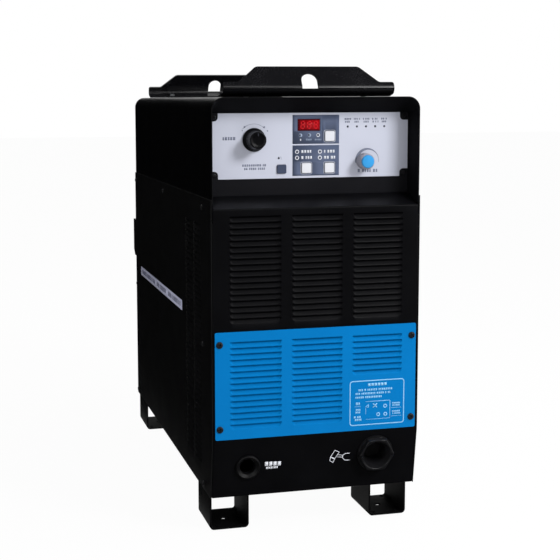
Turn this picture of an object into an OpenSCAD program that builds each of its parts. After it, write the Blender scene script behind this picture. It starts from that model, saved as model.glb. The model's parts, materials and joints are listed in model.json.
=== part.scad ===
// Inverter plasma cutter unit: a tall sheet-steel cabinet on four channel feet.
// Lengths are in millimetres. X runs across the front, +Y runs to the rear, +Z is up.
// Sizes below are laid out from the front face (y = 0) and the ground (z = 0).
// The finished part is then centred on its own box.

/* [Cabinet] */
// Width over the side panels
body_w = 350; // [330:1:380]
// Depth from the front face to the back of the rear panel
body_d = 745; // [725:1:790]
// Height of the cabinet floor above the ground
floor_z = 62; // [54:1:70]
// Height of the hood top above the ground
hood_z = 708; // [704:1:730]
// Corner radius of the hood
hood_r = 20; // [12:1:28]
// Thickness of the cabinet sheet
sheet = 1.5; // [1.2:0.1:2]
// Clearance left between two seated pieces
seat_gap = 0.3; // [0.2:0.05:0.4]

/* [Lower front] */
// Height of the bend edge under the control recess
brow_z = 533; // [528:1:538]
// Height where the lower front starts to slope back
chin_z = 160; // [150:1:168]
// How far the sloping lower front runs back
chin_back = 14; // [8:1:22]
// Louvre pitch
louver_pitch = 9.6; // [9.2:0.1:10]
// Louvre opening height
louver_h = 7.6; // [6.5:0.1:8]
// Louvre depth pressed into the sheet
louver_d = 4.6; // [3.5:0.1:6]
// Width of one louvre
louver_w = 86; // [76:1:90]
// Spacing of the louvre columns
louver_step = 102.8; // [98:0.2:104]
// Number of louvres in a column of the upper field
upper_rows = 18; // [12:1:18]
// Height of the lowest slot in the upper field
upper_first_z = 357; // [355:1:359]
// Margin between the cover plate and the cabinet side
cover_margin = 5; // [3:0.5:8]
// Lower edge of the cover plate
cover_z = 162.5; // [158:0.5:165]
// Height of the cover plate
cover_h = 175; // [172:1:176]
// Height of the lowest slot in the cover
cover_first_z = 185.5; // [185:0.5:187]
// Number of louvres in a full column of the cover
cover_rows = 15; // [10:1:15]
// Number of louvres above the label field of the cover
cover_short_rows = 7; // [4:1:7]

/* [Control recess] */
// Depth of the control recess
recess_d = 40; // [36:1:46]
// Top of the recess back plate
recess_top = 684; // [683:1:686]
// Bottom of the recess back plate
recess_low = 551; // [549:1:553]
// Lower edge of the fascia
fascia_z = 577.5; // [576:0.5:579]
// Height of the fascia
fascia_h = 105; // [103:0.5:105]
// Side of a white key
key_w = 16; // [14:0.5:17]
// Key travel
key_travel = 1.2; // [0.8:0.1:1.3]
// Radius of the current knob skirt
knob_r = 19; // [17:0.5:20]
// Length of the current knob
knob_l = 28; // [24:1:30]
// Radius of the pressure knob
reg_r = 13; // [12:0.5:14]
// Length of the pressure knob
reg_l = 23; // [20:1:26]

/* [Louvred sides] */
// Number of louvres in a side column
side_rows = 42; // [30:1:42]
// Height of the lowest slot on the side
side_first_z = 107; // [105:1:109]
// Width of a side louvre
side_louver_w = 58; // [50:1:60]

/* [Lifting rails] */
// Half length of a rail
rail_half = 147; // [143:1:151]
// Half length of the raised middle of a rail
rail_flat = 86; // [80:1:92]
// Height of the raised middle above the hood
rail_h = 49; // [44:1:54]
// Height of the rail shoulder above the hood
rail_low = 24.5; // [22:0.5:27]
// Plate thickness of a rail
rail_t = 3; // [2.5:0.5:4]
// Distance from the front face to the front rail plate
rail_y = 58; // [54:1:64]

/* [Feet] */
// Width of a foot
foot_w = 66; // [60:1:70]
// Length of a foot
foot_l = 90; // [80:1:96]
// Plate thickness of a foot
foot_t = 3; // [2.5:0.5:4]
// Inset of a foot from the cabinet side
foot_inset = 4; // [2:1:8]
// Inset of the front feet from the front face
foot_front = 38; // [36:1:44]

/* [Connections] */
// Bore radius of the torch gland
torch_bore = 18; // [16:0.5:19]
// Bore radius of the work cable grommet
work_bore = 11.5; // [9:0.5:12.5]
// Depth of the rear input box
box_d = 75; // [60:1:90]
// Radius of the fan rotor
fan_r = 94; // [85:1:98]

/* [Hidden] */

$fn = 48;
g = seat_gap;
cut = 1;
run_gap = 0.05;

// Planes of the shell
side_in = body_w / 2 - sheet;
hood_out = side_in - g;
hood_in = hood_out - sheet;
hood_low = brow_z - 18;
side_top = brow_z + 15;
chin_slope = atan(chin_back / (chin_z - floor_z));
rear_in = body_d - sheet;
floor_top = floor_z + 2;
field_cols = [-louver_step, 0, louver_step];

// Cover plate
cover_w = body_w - 2 * cover_margin;
cover_face = -sheet - g;
window_half = louver_step + louver_w / 2 + 4;
window_low = cover_z + 12;
seam_z = window_low + 1;
window_high = cover_z + cover_h - 10;
cover_hole_x = cover_w / 2 - 7.5;
cover_hole_z = [cover_z + 17.5, cover_z + cover_h - 20];

// Control recess
plate_y = recess_d;
fascia_y = plate_y - g - 0.7;
fascia_half = hood_in - 4;
corner_x = fascia_half - 7.6;
corner_z = [fascia_z + 6.3, fascia_z + fascia_h - 6.3];
board_y = plate_y + 12;
knob_x = -94.8;
knob_z = fascia_z + 62.5;
reg_x = 91;
reg_z = fascia_z + 25.7;
led_r = 1.5;
led_hole = led_r + g;
led_row = [for (i = [0:4]) [63.4 + 15.75 * i, fascia_z + 82.2]];
led_three = [for (i = [0:2]) [-17.9 + 15 * i, fascia_z + 69.2]];
led_rings = [[-22.7, fascia_z + 42.4], [-22.7, fascia_z + 32.6], [16, fascia_z + 42.2], [16, fascia_z + 32.4]];
led_spots = concat(led_row, led_three, led_rings, [[-53.4, fascia_z + 32.6]]);
screen_x = [-21.7, 15.7];
screen_z = [fascia_z + 76.1, fascia_z + 94.7];
key_spots = [[32.4, fascia_z + 67.2], [-7.1, fascia_z + 15.9], [31.9, fascia_z + 15.9], [-48.7, fascia_z + 14.9]];
key_small = [15.5, 14];
key_face = fascia_y - 2.2;
key_back = plate_y + 3.5;

// Rails and feet
rail_top = hood_z + rail_h;
rail_shoulder = hood_z + rail_low;
rail_shelf = rail_shoulder - 6;
rail_deep = 25;
rail_flange = 16;
rail_bolt_y = rail_t + rail_flange / 2;
rail_rear_y = body_d - 22;
bolt_r = 4;
rail_bolt_x = 100;
foot_out = body_w / 2 - foot_inset;
foot_mid = foot_out - foot_w / 2;
foot_ys = [foot_front, body_d - foot_l];
foot_lip = 18;
foot_bolt_in = foot_lip / 2 + 3;
foot_bolt_at = [0.14, 0.86];
foot_h = floor_z - g;
screw_head = 2.6;
screw_r = 4.2;
screw_y = 66;
screw_zs = [floor_z + 10, 307, brow_z - 1];

// Connections on the sloping lower front
torch_x = 102.6;
torch_z = floor_z + 59;
work_x = -115;
work_z = floor_z + 51;
gland_l = 12;
gland_af = 54;
function chin_y(z) = (chin_z - z) * chin_back / (chin_z - floor_z);

// Rear
fan_z = 225;
fan_bore = fan_r + 4;
fan_w = 2 * fan_bore + 14;
fan_deep = 50;
fan_back = rear_in - g;
guard_r = (fan_w / 2 - 9) * sqrt(2);
guard_deep = 8;
breaker_x = -95;
breaker_z = 590;
box_x = [-168, -28];
box_z = [360, 440];
inlet_x = reg_x;
inlet_z = reg_z;

// Inner works
saddle_z = 345;
saddle_half = 150;
saddle_y = [108, 655];
block_x = reg_x;
valve_z = [272, 330];
valve_y = [66, saddle_y[0] - g];
hose_y = 86;
sink_y = [330, 610];
sink_z = saddle_z + 2 + g;
pcb_z = sink_z + 60 + 32 + 12;

// The whole part is centred front to back on its own box
y_min = chin_y(torch_z) - gland_l * cos(chin_slope) - gland_af / 2 * sin(chin_slope);
y_max = body_d + box_d;
y_mid = (y_min + y_max) / 2;

// ---------- shared forms ----------

function arc(c, r, a0, a1, n = 8) =
  [for (i = [0:n]) let (a = a0 + (a1 - a0) * i / n) [c[0] + r * cos(a), c[1] + r * sin(a)]];
function unit(v) = v / norm(v);
function left_of(a, b) = let (d = unit(b - a)) [-d[1], d[0]];
function mitre(p, i, t) =
  let (n = len(p) - 1)
  let (n1 = left_of(p[max(i - 1, 0)], p[max(i, 1)]))
  let (n2 = left_of(p[min(i, n - 1)], p[min(i + 1, n)]))
  p[i] + (n1 + n2) * t / (1 + n1 * n2);

// A folded strip of sheet: a path with a constant thickness to its left
module ribbon(p, t) {
  n = len(p) - 1;
  polygon(concat(p, [for (i = [n:-1:0]) mitre(p, i, t)]));
}

// Extrusions along each axis of a drawing in the other two
module along_x(x0, x1) {
  translate([x0, 0, 0]) rotate([90, 0, 90]) linear_extrude(x1 - x0) children();
}
module along_y(y0, y1) {
  translate([0, y1, 0]) rotate([90, 0, 0]) linear_extrude(y1 - y0) children();
}
module rod_y(r, y0, y1) {
  translate([0, y0, 0]) rotate([-90, 0, 0]) cylinder(r = r, h = y1 - y0);
}
module rod_x(r, x0, x1) {
  translate([x0, 0, 0]) rotate([0, 90, 0]) cylinder(r = r, h = x1 - x0);
}
module slab(x, y, z) {
  translate([x[0], y[0], z[0]]) cube([x[1] - x[0], y[1] - y[0], z[1] - z[0]]);
}

// An upright rectangle with a round top: the section of the hood
module arched(half, low, top, r) {
  translate([-half, low]) square([2 * half, top - r - low]);
  translate([-half + r, low]) square([2 * (half - r), top - low]);
  for (s = [-1, 1]) translate([s * (half - r), top - r]) circle(r = r);
}
module rounded(w, h, r) {
  square([w - 2 * r, h], center = true);
  square([w, h - 2 * r], center = true);
  for (x = [-1, 1], y = [-1, 1]) translate([x * (w / 2 - r), y * (h / 2 - r)]) circle(r = r);
}

// Louvres: each is a slot whose lower lip is pressed inwards.
// The first coordinate runs inwards from the sheet's outer face, the second is height.
module louver_slots(n, first) {
  for (i = [0:n - 1]) {
    z = first + i * louver_pitch;
    translate([-cut, z - louver_h + 1.5]) square([sheet + 2 * cut, louver_h]);
  }
}
module louver_tongues(n, first) {
  for (i = [0:n - 1]) {
    z = first + i * louver_pitch;
    foot = z - louver_h + 1.5;
    polygon([[0, foot], [louver_d, z + 1.5], [louver_d + sheet * 0.8, z + 1.5], [sheet, foot - 0.9], [0, foot - 0.9]]);
  }
}
module louver_cheeks(n, first) {
  for (i = [0:n - 1]) {
    z = first + i * louver_pitch;
    foot = z - louver_h + 1.5;
    polygon([[0, foot - 0.5], [louver_d + sheet * 0.8, z + 1.5], [louver_d, z + 2.1], [0, z + 2.1]]);
  }
}

// Pan-head screw lying along -Y, its head's seat at the origin
module face_screw(shank) {
  rod_y(screw_r, -screw_head * 0.4, 0);
  translate([0, -screw_head * 0.4, 0]) rotate([90, 0, 0]) cylinder(r1 = screw_r, r2 = screw_r * 0.62, h = screw_head * 0.6);
  rod_y(2, -0.5, shank);
}

// ---------- shell ----------

module base_pan() {
  color("#1b1b1d") difference() {
    union() {
      slab([-hood_out, hood_out], [chin_back + 20 + g, rear_in - g], [floor_z, floor_top]);
      for (s = [-1, 1]) {
        x = s > 0 ? [hood_in, hood_out] : [-hood_out, -hood_in];
        slab(x, [screw_y + 10, rear_in - 42], [floor_z, floor_z + 28]);
      }
    }
    for (s = [-1, 1], y = foot_ys, a = [-1, 1], b = foot_bolt_at)
      translate([s * (foot_mid + a * (foot_w / 2 - foot_bolt_in)), y + b * foot_l, floor_z - cut]) cylinder(r = 3 + g, h = 5);
  }
}

// The front is folded from two sheets that meet behind the cover plate
front_path = [[recess_d - g - 0.7, recess_low - 0.3], [0, brow_z], [0, seam_z + g]];
chin_path = [[0, seam_z], [0, chin_z], [chin_back, floor_z], [chin_back + 20, floor_z]];

module front_panel() {
  color("#1b1b1d") difference() {
    union() {
      difference() {
        along_x(-hood_out, hood_out) ribbon(front_path, sheet);
        for (c = field_cols) along_x(c - louver_w / 2, c + louver_w / 2) louver_slots(upper_rows, upper_first_z);
      }
      for (c = field_cols) {
        along_x(c - louver_w / 2, c + louver_w / 2) louver_tongues(upper_rows, upper_first_z);
        for (x = [c - louver_w / 2 - 1, c + louver_w / 2]) along_x(x, x + 1) louver_cheeks(upper_rows, upper_first_z);
      }
      for (s = [-1, 1]) {
        x = s > 0 ? [hood_out - sheet, hood_out] : [-hood_out, -hood_out + sheet];
        slab(x, [0.5, screw_y + 8], [seam_z + g, hood_low - 2]);
      }
    }
    slab([-window_half, window_half], [-cut, 8], [0, window_high]);
    for (s = [-1, 1]) {
      x = s > 0 ? [hood_in - g, body_w] : [-body_w, -hood_in + g];
      slab(x, [-cut, recess_d + cut], [brow_z + 0.6, hood_z]);
    }
    for (x = [-1, 1], z = cover_hole_z) translate([x * cover_hole_x, 0, z]) rod_y(2.2, -cut, 4);
    translate([0, screw_y, screw_zs[1]]) rod_x(2.2, -body_w, body_w);
  }
}

// Sloping lower front that carries the cable entries
module chin_panel() {
  color("#1b1b1d") difference() {
    union() {
      along_x(-hood_out, hood_out) ribbon(chin_path, sheet);
      for (s = [-1, 1]) {
        x = s > 0 ? [hood_out - sheet, hood_out] : [-hood_out, -hood_out + sheet];
        along_x(x[0], x[1])
          polygon([[0.5, seam_z], [0.5, chin_z], [chin_back + 0.5, floor_z + 1], [chin_back + 18, floor_z + 1],
            [chin_back + 18, floor_top + g], [screw_y + 8, floor_top + g], [screw_y + 8, seam_z]]);
      }
    }
    translate([torch_x, chin_y(torch_z), torch_z]) rotate([90 + chin_slope, 0, 0])
      translate([0, 0, -4]) cylinder(r = torch_bore + 4 + g, h = 8);
    translate([work_x, chin_y(work_z), work_z]) rotate([90 + chin_slope, 0, 0])
      translate([0, 0, -4]) cylinder(r = work_bore + 4 + g, h = 8);
    translate([0, screw_y, screw_zs[0]]) rod_x(2.2, -body_w, body_w);
  }
}

// Cover plate over the output terminals, with its own louvres
module access_cover() {
  tall = [-louver_step, 0];
  short_first = cover_first_z + (cover_rows - cover_short_rows) * louver_pitch;
  color("#1f9bf0") translate([0, cover_face, 0]) difference() {
    union() {
      difference() {
        along_y(0, sheet) translate([0, cover_z + cover_h / 2]) rounded(cover_w, cover_h, 2.5);
        for (c = tall) along_x(c - louver_w / 2, c + louver_w / 2) louver_slots(cover_rows, cover_first_z);
        along_x(louver_step - louver_w / 2, louver_step + louver_w / 2) louver_slots(cover_short_rows, short_first);
      }
      for (c = tall) {
        along_x(c - louver_w / 2, c + louver_w / 2) louver_tongues(cover_rows, cover_first_z);
        for (x = [c - louver_w / 2 - 1, c + louver_w / 2]) along_x(x, x + 1) louver_cheeks(cover_rows, cover_first_z);
      }
      along_x(louver_step - louver_w / 2, louver_step + louver_w / 2) louver_tongues(cover_short_rows, short_first);
      for (x = [louver_step - louver_w / 2 - 1, louver_step + louver_w / 2])
        along_x(x, x + 1) louver_cheeks(cover_short_rows, short_first);
    }
    for (x = [-1, 1], z = cover_hole_z) translate([x * cover_hole_x, 0, z]) rod_y(2.2, -cut, 4);
  }
}

module cover_screws() {
  color("#101010") for (x = [-1, 1], z = cover_hole_z) translate([x * cover_hole_x, cover_face, z]) face_screw(7);
}

module hood() {
  color("#1b1b1d") difference() {
    union() {
      along_y(0, body_d) difference() {
        arched(hood_out, side_top - 8, hood_z, hood_r);
        arched(hood_in, side_top - 8 - cut, hood_z - sheet, hood_r - sheet);
      }
      for (s = [-1, 1]) {
        x = s > 0 ? [hood_in, hood_out] : [-hood_out, -hood_in];
        slab(x, [30, rear_in - 42], [hood_low, side_top]);
      }
    }
    for (s = [-1, 1]) {
      x = s > 0 ? [hood_in - cut, hood_out + cut] : [-hood_out - cut, -hood_in + cut];
      slab(x, [-cut, 30], [hood_low - cut, side_top]);
      slab(x, [rear_in - 42, body_d + cut], [hood_low - cut, side_top]);
    }
    for (y = [rail_y, rail_rear_y], x = [-1, 1])
      translate([x * rail_bolt_x, y + rail_bolt_y, hood_z - 5]) cylinder(r = bolt_r + g, h = 10);
    for (y = [screw_y, 412]) translate([0, y, screw_zs[2]]) rod_x(2.2, -body_w, body_w);
  }
}

side_cols = [screw_y + 12, screw_y + 12 + side_louver_w + 8];

module side_left() {
  color("#1b1b1d") difference() {
    union() {
      difference() {
        along_x(-body_w / 2, -side_in)
          polygon([[0, side_top], [body_d, side_top], [body_d, floor_z], [chin_back, floor_z], [0, chin_z]]);
        for (y = side_cols) along_y(y, y + side_louver_w) translate([-body_w / 2, 0]) louver_slots(side_rows, side_first_z);
      }
      for (y = side_cols) {
        along_y(y, y + side_louver_w) translate([-body_w / 2, 0]) louver_tongues(side_rows, side_first_z);
        for (e = [y - 1, y + side_louver_w])
          along_y(e, e + 1) translate([-body_w / 2, 0]) louver_cheeks(side_rows, side_first_z);
      }
    }
    for (y = [screw_y, body_d - 12], z = screw_zs) translate([0, y, z]) rod_x(2.2, -body_w, 0);
    translate([0, 412, screw_zs[2]]) rod_x(2.2, -body_w, 0);
  }
}

module side_right() {
  mirror([1, 0, 0]) side_left();
}

module shell_screws() {
  spots = concat([for (y = [screw_y, body_d - 12], z = screw_zs) [y, z]], [[412, screw_zs[2]]]);
  color("#101010") for (s = [-1, 1], p = spots)
    translate([s * body_w / 2, p[0], p[1]]) rotate([0, 0, s * 90]) face_screw(8);
  color("#101010") for (x = [-1, 1], z = [-1, 1])
    translate([x * (fan_w / 2 - 9), body_d + guard_deep, fan_z + z * (fan_w / 2 - 9)]) rotate([0, 0, 180]) face_screw(guard_deep + 20);
}

module rear_panel() {
  mid = hood_low - 2;
  color("#1b1b1d") difference() {
    union() {
      along_y(rear_in, body_d) {
        translate([-hood_out, floor_z]) square([2 * hood_out, mid - floor_z]);
        arched(hood_in - g, floor_z + 20, hood_z - sheet - g, hood_r - sheet);
      }
      for (s = [-1, 1]) {
        lo = s > 0 ? [hood_in, hood_out] : [-hood_out, -hood_in];
        hi = s > 0 ? [hood_in - g - sheet, hood_in - g] : [-hood_in + g, -hood_in + g + sheet];
        slab(lo, [rear_in - 40, rear_in + 0.5], [floor_top + g, mid]);
        slab(hi, [rear_in - 40, rear_in + 0.5], [mid + 2, hood_z - hood_r - 4]);
      }
    }
    translate([0, 0, fan_z]) rod_y(fan_bore, rear_in - cut, body_d + cut);
    for (x = [-1, 1], z = [-1, 1]) translate([x * (fan_w / 2 - 9), 0, fan_z + z * (fan_w / 2 - 9)]) rod_y(2.5, rear_in - cut, body_d + cut);
    slab([breaker_x - 32, breaker_x + 32], [rear_in - cut, body_d + cut], [breaker_z - 42, breaker_z + 42]);
    translate([inlet_x, 0, inlet_z]) rod_y(9 + g, rear_in - cut, body_d + cut);
    slab([box_x[0] + 22, box_x[1] - 22], [rear_in - cut, body_d + cut], [box_z[0] + 24, box_z[1] - 16]);
    for (z = screw_zs) translate([0, body_d - 12, z]) rod_x(2.2, -body_w, body_w);
  }
}

// ---------- control recess ----------

// Funnel between the hood's front edge and the recess back plate
module recess_frame() {
  front_top = hood_z - sheet - g;
  back_top = recess_top - 1;
  ry = plate_y - g;
  low_gap = g / cos(atan((recess_low - brow_z) / recess_d)) + 0.2;
  color("#1b1b1d") intersection() {
    along_y(-cut, ry) arched(hood_in - g, brow_z - 60, front_top, hood_r - sheet - g);
    union() {
      along_x(-hood_in, hood_in) ribbon([[0.3, front_top - 0.4], [ry, back_top]], 1.2);
      intersection() {
        for (s = [0, 1]) mirror([s, 0, 0]) translate([0, 0, brow_z - 60]) linear_extrude(hood_z - brow_z + 60)
          polygon([[hood_in - g, 0.3], [hood_in - g, ry - 8], [fascia_half + 2.6, ry], [fascia_half + 1, ry], [hood_in - g - 0.9, 0.3]]);
        along_x(-hood_in, hood_in)
          polygon([[0.3, brow_z + low_gap + 0.2], [ry, recess_low + low_gap], [ry, back_top + 0.6], [0.3, front_top]]);
      }
    }
  }
}

module recess_plate() {
  color("#161617") difference() {
    slab([-fascia_half - 2.4, fascia_half + 2.4], [plate_y, plate_y + sheet], [recess_low - 2, recess_top]);
    for (x = [-1, 1], z = corner_z) translate([x * corner_x, 0, z]) rod_y(2.2, plate_y - cut, plate_y + 4);
    translate([knob_x, 0, knob_z]) rod_y(5 + g, plate_y - cut, plate_y + 4);
    translate([reg_x, 0, reg_z]) rod_y(9 + g, plate_y - cut, plate_y + 4);
    for (p = led_spots) translate([p[0], 0, p[1]]) rod_y(led_hole, plate_y - cut, plate_y + 4);
    slab([screen_x[0] - g, screen_x[1] + g], [plate_y - cut, plate_y + 4], [screen_z[0] - g, screen_z[1] + g]);
    key_holes(plate_y - cut, plate_y + 4);
  }
}

module key_holes(y0, y1) {
  for (i = [0:3]) {
    w = i < 3 ? [key_w, key_w] : key_small;
    p = key_spots[i];
    along_y(y0, y1) translate(p) rounded(w[0] + 2 * g, w[1] + 2 * g, 2 + g);
  }
}

// Fascia overlay, its corners notched round the fixing screws
module fascia() {
  color("#c9ccdd") difference() {
    slab([-fascia_half, fascia_half], [fascia_y, fascia_y + 0.7], [fascia_z, fascia_z + fascia_h]);
    for (x = [-1, 1], i = [0, 1]) {
      z = corner_z[i];
      translate([x * corner_x, 0, z]) rod_y(6.3, 0, recess_d + 9);
      slab(x > 0 ? [corner_x, body_w] : [-body_w, -corner_x], [0, 90], i > 0 ? [z - 6.3, z + 20] : [z - 20, z + 6.3]);
      slab(x > 0 ? [corner_x - 6.3, body_w] : [-body_w, -corner_x + 6.3], [0, 90], i > 0 ? [z, z + 20] : [z - 20, z]);
    }
    translate([knob_x, 0, knob_z]) rod_y(5 + g, 0, 90);
    translate([reg_x, 0, reg_z]) rod_y(9 + g, 0, 90);
    for (p = led_spots) translate([p[0], 0, p[1]]) rod_y(led_hole, 0, 90);
    slab([screen_x[0] - g, screen_x[1] + g], [0, 90], [screen_z[0] - g, screen_z[1] + g]);
    key_holes(0, 90);
  }
}

module fascia_screws() {
  color("#2a2a2c") for (x = [-1, 1], z = corner_z) translate([x * corner_x, plate_y - g, z]) {
    rod_y(3.6, -1.2, 0);
    translate([0, -1.2, 0]) rotate([90, 0, 0]) cylinder(r1 = 3.6, r2 = 2.4, h = 1);
    rod_y(1.9, -0.5, 8);
  }
}

module display() {
  color("#7a0c0c") slab(screen_x, [fascia_y - 0.4, board_y - g], screen_z);
}

module leds() {
  color("#7d8088") for (p = led_spots) translate([p[0], 0, p[1]]) {
    rod_y(led_r, fascia_y - 0.4, board_y - g);
  }
}

module key(i, shade) {
  w = i < 3 ? [key_w, key_w] : key_small;
  p = key_spots[i];
  color(shade) {
    along_y(key_face, key_back) translate(p) rounded(w[0], w[1], 2);
    translate([p[0], 0, p[1]]) rod_y(2, key_back - 0.5, board_y - 2.5 - key_travel - g);
  }
}
module key_mode() { key(0, "#f2f2f0"); }
module key_gas() { key(1, "#f2f2f0"); }
module key_set() { key(2, "#f2f2f0"); }
module key_test() { key(3, "#3c4660"); }

// Skirted knob on its own spindle, which runs in the potentiometer
module current_knob() {
  back = fascia_y - 0.4;
  front = back - knob_l;
  color("#0e0e10") translate([knob_x, 0, knob_z]) {
    rotate([90, 0, 0]) translate([0, 0, -back]) rotate_extrude($fn = 64)
      polygon([[0, 5], [5.5 + g, 5], [5.5 + g, 0], [knob_r - 0.8, 0], [knob_r, 0.8], [knob_r, 2.4], [knob_r - 4.6, 6],
        [knob_r - 5.1, knob_l - 2], [knob_r - 6.6, knob_l], [0, knob_l]]);
    rod_y(3, back - 5.5, plate_y + 22);
  }
}

module pot_body() {
  color("#8d8f94") translate([knob_x, 0, knob_z]) difference() {
    union() {
      rod_y(5, fascia_y - 3.2, plate_y + 6);
      rod_y(12, plate_y + sheet + g, plate_y + 18);
      rod_y(8, plate_y + 17, plate_y + 26);
    }
    rod_y(3 + run_gap, fascia_y - 5, plate_y + 22 + g);
  }
}

// Pressure knob: a cream grip with a bright cap, turning together
module regulator_knob() {
  back = fascia_y - 0.4;
  color("#e8e2d2") translate([reg_x, 0, reg_z]) difference() {
    union() {
      rotate([90, 0, 0]) translate([0, 0, -back]) rotate_extrude($fn = 64)
        polygon([[0, 0], [reg_r - 1.2, 0], [reg_r, 1], [reg_r, reg_l - 6], [reg_r - 1.2, reg_l - 4], [0, reg_l - 4]]);
      rod_y(4, back - 1, plate_y + 30);
    }
    for (i = [0:23]) rotate([0, i * 15, 0]) translate([reg_r + 0.55, 0, 0]) rod_y(1.05, back - reg_l + 7, back - 2);
  }
}
module regulator_cap() {
  front = fascia_y - 0.4 - reg_l + 4;
  color("#1ea6ff") translate([reg_x, front, reg_z]) rotate([90, 0, 0]) rotate_extrude($fn = 64)
    polygon([[0, 0], [reg_r - 2.4, 0], [reg_r - 2.4, 2.4], [reg_r - 3.6, 3.6], [0, 4]]);
}

module regulator_body() {
  color("#b9bcc2") translate([reg_x, 0, reg_z]) difference() {
    union() {
      rod_y(9, fascia_y, plate_y + 14);
      rod_y(22, plate_y + sheet + g, plate_y + 62);
      rod_y(9, plate_y + 61, plate_y + 72);
      translate([0, hose_y, -31]) cylinder(r = 8, h = 14);
    }
    rod_y(4 + run_gap, 0, plate_y + 30 + g);
  }
}

// Circuit board behind the fascia, on spacers, cut away round the regulator
module control_board() {
  z0 = fascia_z + 2;
  color("#1f6b3a") {
    along_y(board_y, board_y + 1.6)
      polygon([[-62, z0], [60, z0], [60, z0 + 55], [135, z0 + 55], [135, z0 + 98], [-62, z0 + 98]]);
    for (p = [[-58, z0 + 93], [130, z0 + 93], [-59, z0 + 3], [55, z0 + 3]])
      translate([p[0], 0, p[1]]) rod_y(2.5, plate_y + sheet, board_y + 0.5);
    for (p = key_spots) slab([p[0] - 3.5, p[0] + 3.5], [board_y - 2.5, board_y + 0.5], [p[1] - 3.5, p[1] + 3.5]);
    slab([-40, 0], [board_y + 1.5, board_y + 6], [z0 + 60, z0 + 75]);
    slab([10, 45], [board_y + 1.5, board_y + 12], [z0 + 20, z0 + 32]);
  }
}

// ---------- lifting rails ----------

// Outline of the upright plate: shoulders, sloping flanks and a raised middle
module rail_outline() {
  slope = 0.75;
  run = (rail_h - rail_low) / slope;
  r = 12;
  c = rail_flat - r * tan(atan(slope) / 2);
  a = 90 - atan(slope);
  half = concat(
    [[rail_half, hood_z + g], [rail_half, rail_shoulder], [rail_flat + run, rail_shoulder]],
    arc([c, rail_top - r], r, a, 90, 6));
  other = [for (i = [len(half) - 1:-1:0]) [-half[i][0], half[i][1]]];
  polygon(concat(half, other));
}

// Side view: an upright plate with a folded shelf and lip in front of it and a bolted foot flange behind
module rail(y) {
  lip = y - rail_deep;
  r = 10;
  shelf = concat([[lip, hood_z + 4.5]], arc([lip + r, rail_shelf - r], r, 180, 90, 7), [[y + 0.5, rail_shelf]]);
  arch = arc([0, rail_top - 24.5], 14.5, 0, 180, 16);
  color("#1b1b1d") difference() {
    union() {
      along_y(y, y + rail_t) rail_outline();
      slab([-rail_half, rail_half], [y + rail_t - 0.5, y + rail_t + rail_flange], [hood_z + g, hood_z + g + rail_t]);
      intersection() {
        along_x(-rail_half, rail_half) ribbon(shelf, -rail_t);
        translate([0, 0, hood_z]) linear_extrude(rail_h)
          polygon([[-rail_half, y + 1], [rail_half, y + 1], [rail_half, y - 8], [rail_half - rail_deep + 8, lip - 1],
            [-rail_half + rail_deep - 8, lip - 1], [-rail_half, y - 8]]);
      }
    }
    along_y(lip - cut, y + rail_t + cut)
      polygon(concat([[14.5, rail_shelf - 5]], arch, [[-14.5, rail_shelf - 5]]));
    for (x = [-1, 1]) translate([x * rail_bolt_x, y + rail_bolt_y, hood_z - 5]) cylinder(r = bolt_r + g, h = 20);
  }
}
module rail_front() { rail(rail_y); }
module rail_rear() { rail(rail_rear_y); }

module rail_bolts() {
  seat = hood_z + g + rail_t;
  color("#9a9ca0") for (y = [rail_y, rail_rear_y], x = [-1, 1]) translate([x * rail_bolt_x, y + rail_bolt_y, 0]) {
    translate([0, 0, seat]) cylinder(r = 7, h = 5, $fn = 6);
    translate([0, 0, hood_z - 12]) cylinder(r = bolt_r, h = seat - hood_z + 13);
    translate([0, 0, hood_z - sheet - 7]) cylinder(r = 7.4, h = 7, $fn = 6);
  }
}

// ---------- feet ----------

// A lipped channel, open at the front and rear, with holes in its base
module foot(s, y) {
  w = foot_w / 2;
  r = 7;
  side = concat([[-w + foot_lip, foot_h], [-w, foot_h]], arc([-w + r, r], r, 180, 270, 6));
  other = [for (i = [len(side) - 1:-1:0]) [-side[i][0], side[i][1]]];
  holes = [[-22, 8], [22, 8], [-22, foot_l - 8], [22, foot_l - 8]];
  color("#141415") translate([s * foot_mid, y, 0]) difference() {
    along_y(0, foot_l) ribbon(concat(side, other), foot_t);
    for (p = holes) translate([p[0], p[1], -cut]) cylinder(r = 3.8, h = foot_t + 2);
    translate([0, foot_l / 2, -cut]) cylinder(r = 5, h = foot_t + 2);
    for (a = [-1, 1], b = foot_bolt_at)
      translate([a * (w - foot_bolt_in), b * foot_l, foot_h - foot_t - cut]) cylinder(r = 3 + g, h = foot_t + 2);
  }
}
module foot_front_left() { foot(-1, foot_ys[0]); }
module foot_front_right() { foot(1, foot_ys[0]); }
module foot_rear_left() { foot(-1, foot_ys[1]); }
module foot_rear_right() { foot(1, foot_ys[1]); }

module foot_bolts() {
  color("#9a9ca0") for (s = [-1, 1], y = foot_ys, a = [-1, 1], b = foot_bolt_at)
    translate([s * (foot_mid + a * (foot_w / 2 - foot_bolt_in)), y + b * foot_l, 0]) {
      translate([0, 0, foot_h - foot_t - 4]) cylinder(r = 5.6, h = 4, $fn = 6);
      translate([0, 0, foot_h - foot_t - 1]) cylinder(r = 3, h = foot_t + 12);
      translate([0, 0, floor_top]) cylinder(r = 5.6, h = 5, $fn = 6);
    }
}

// ---------- cable connections ----------

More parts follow.
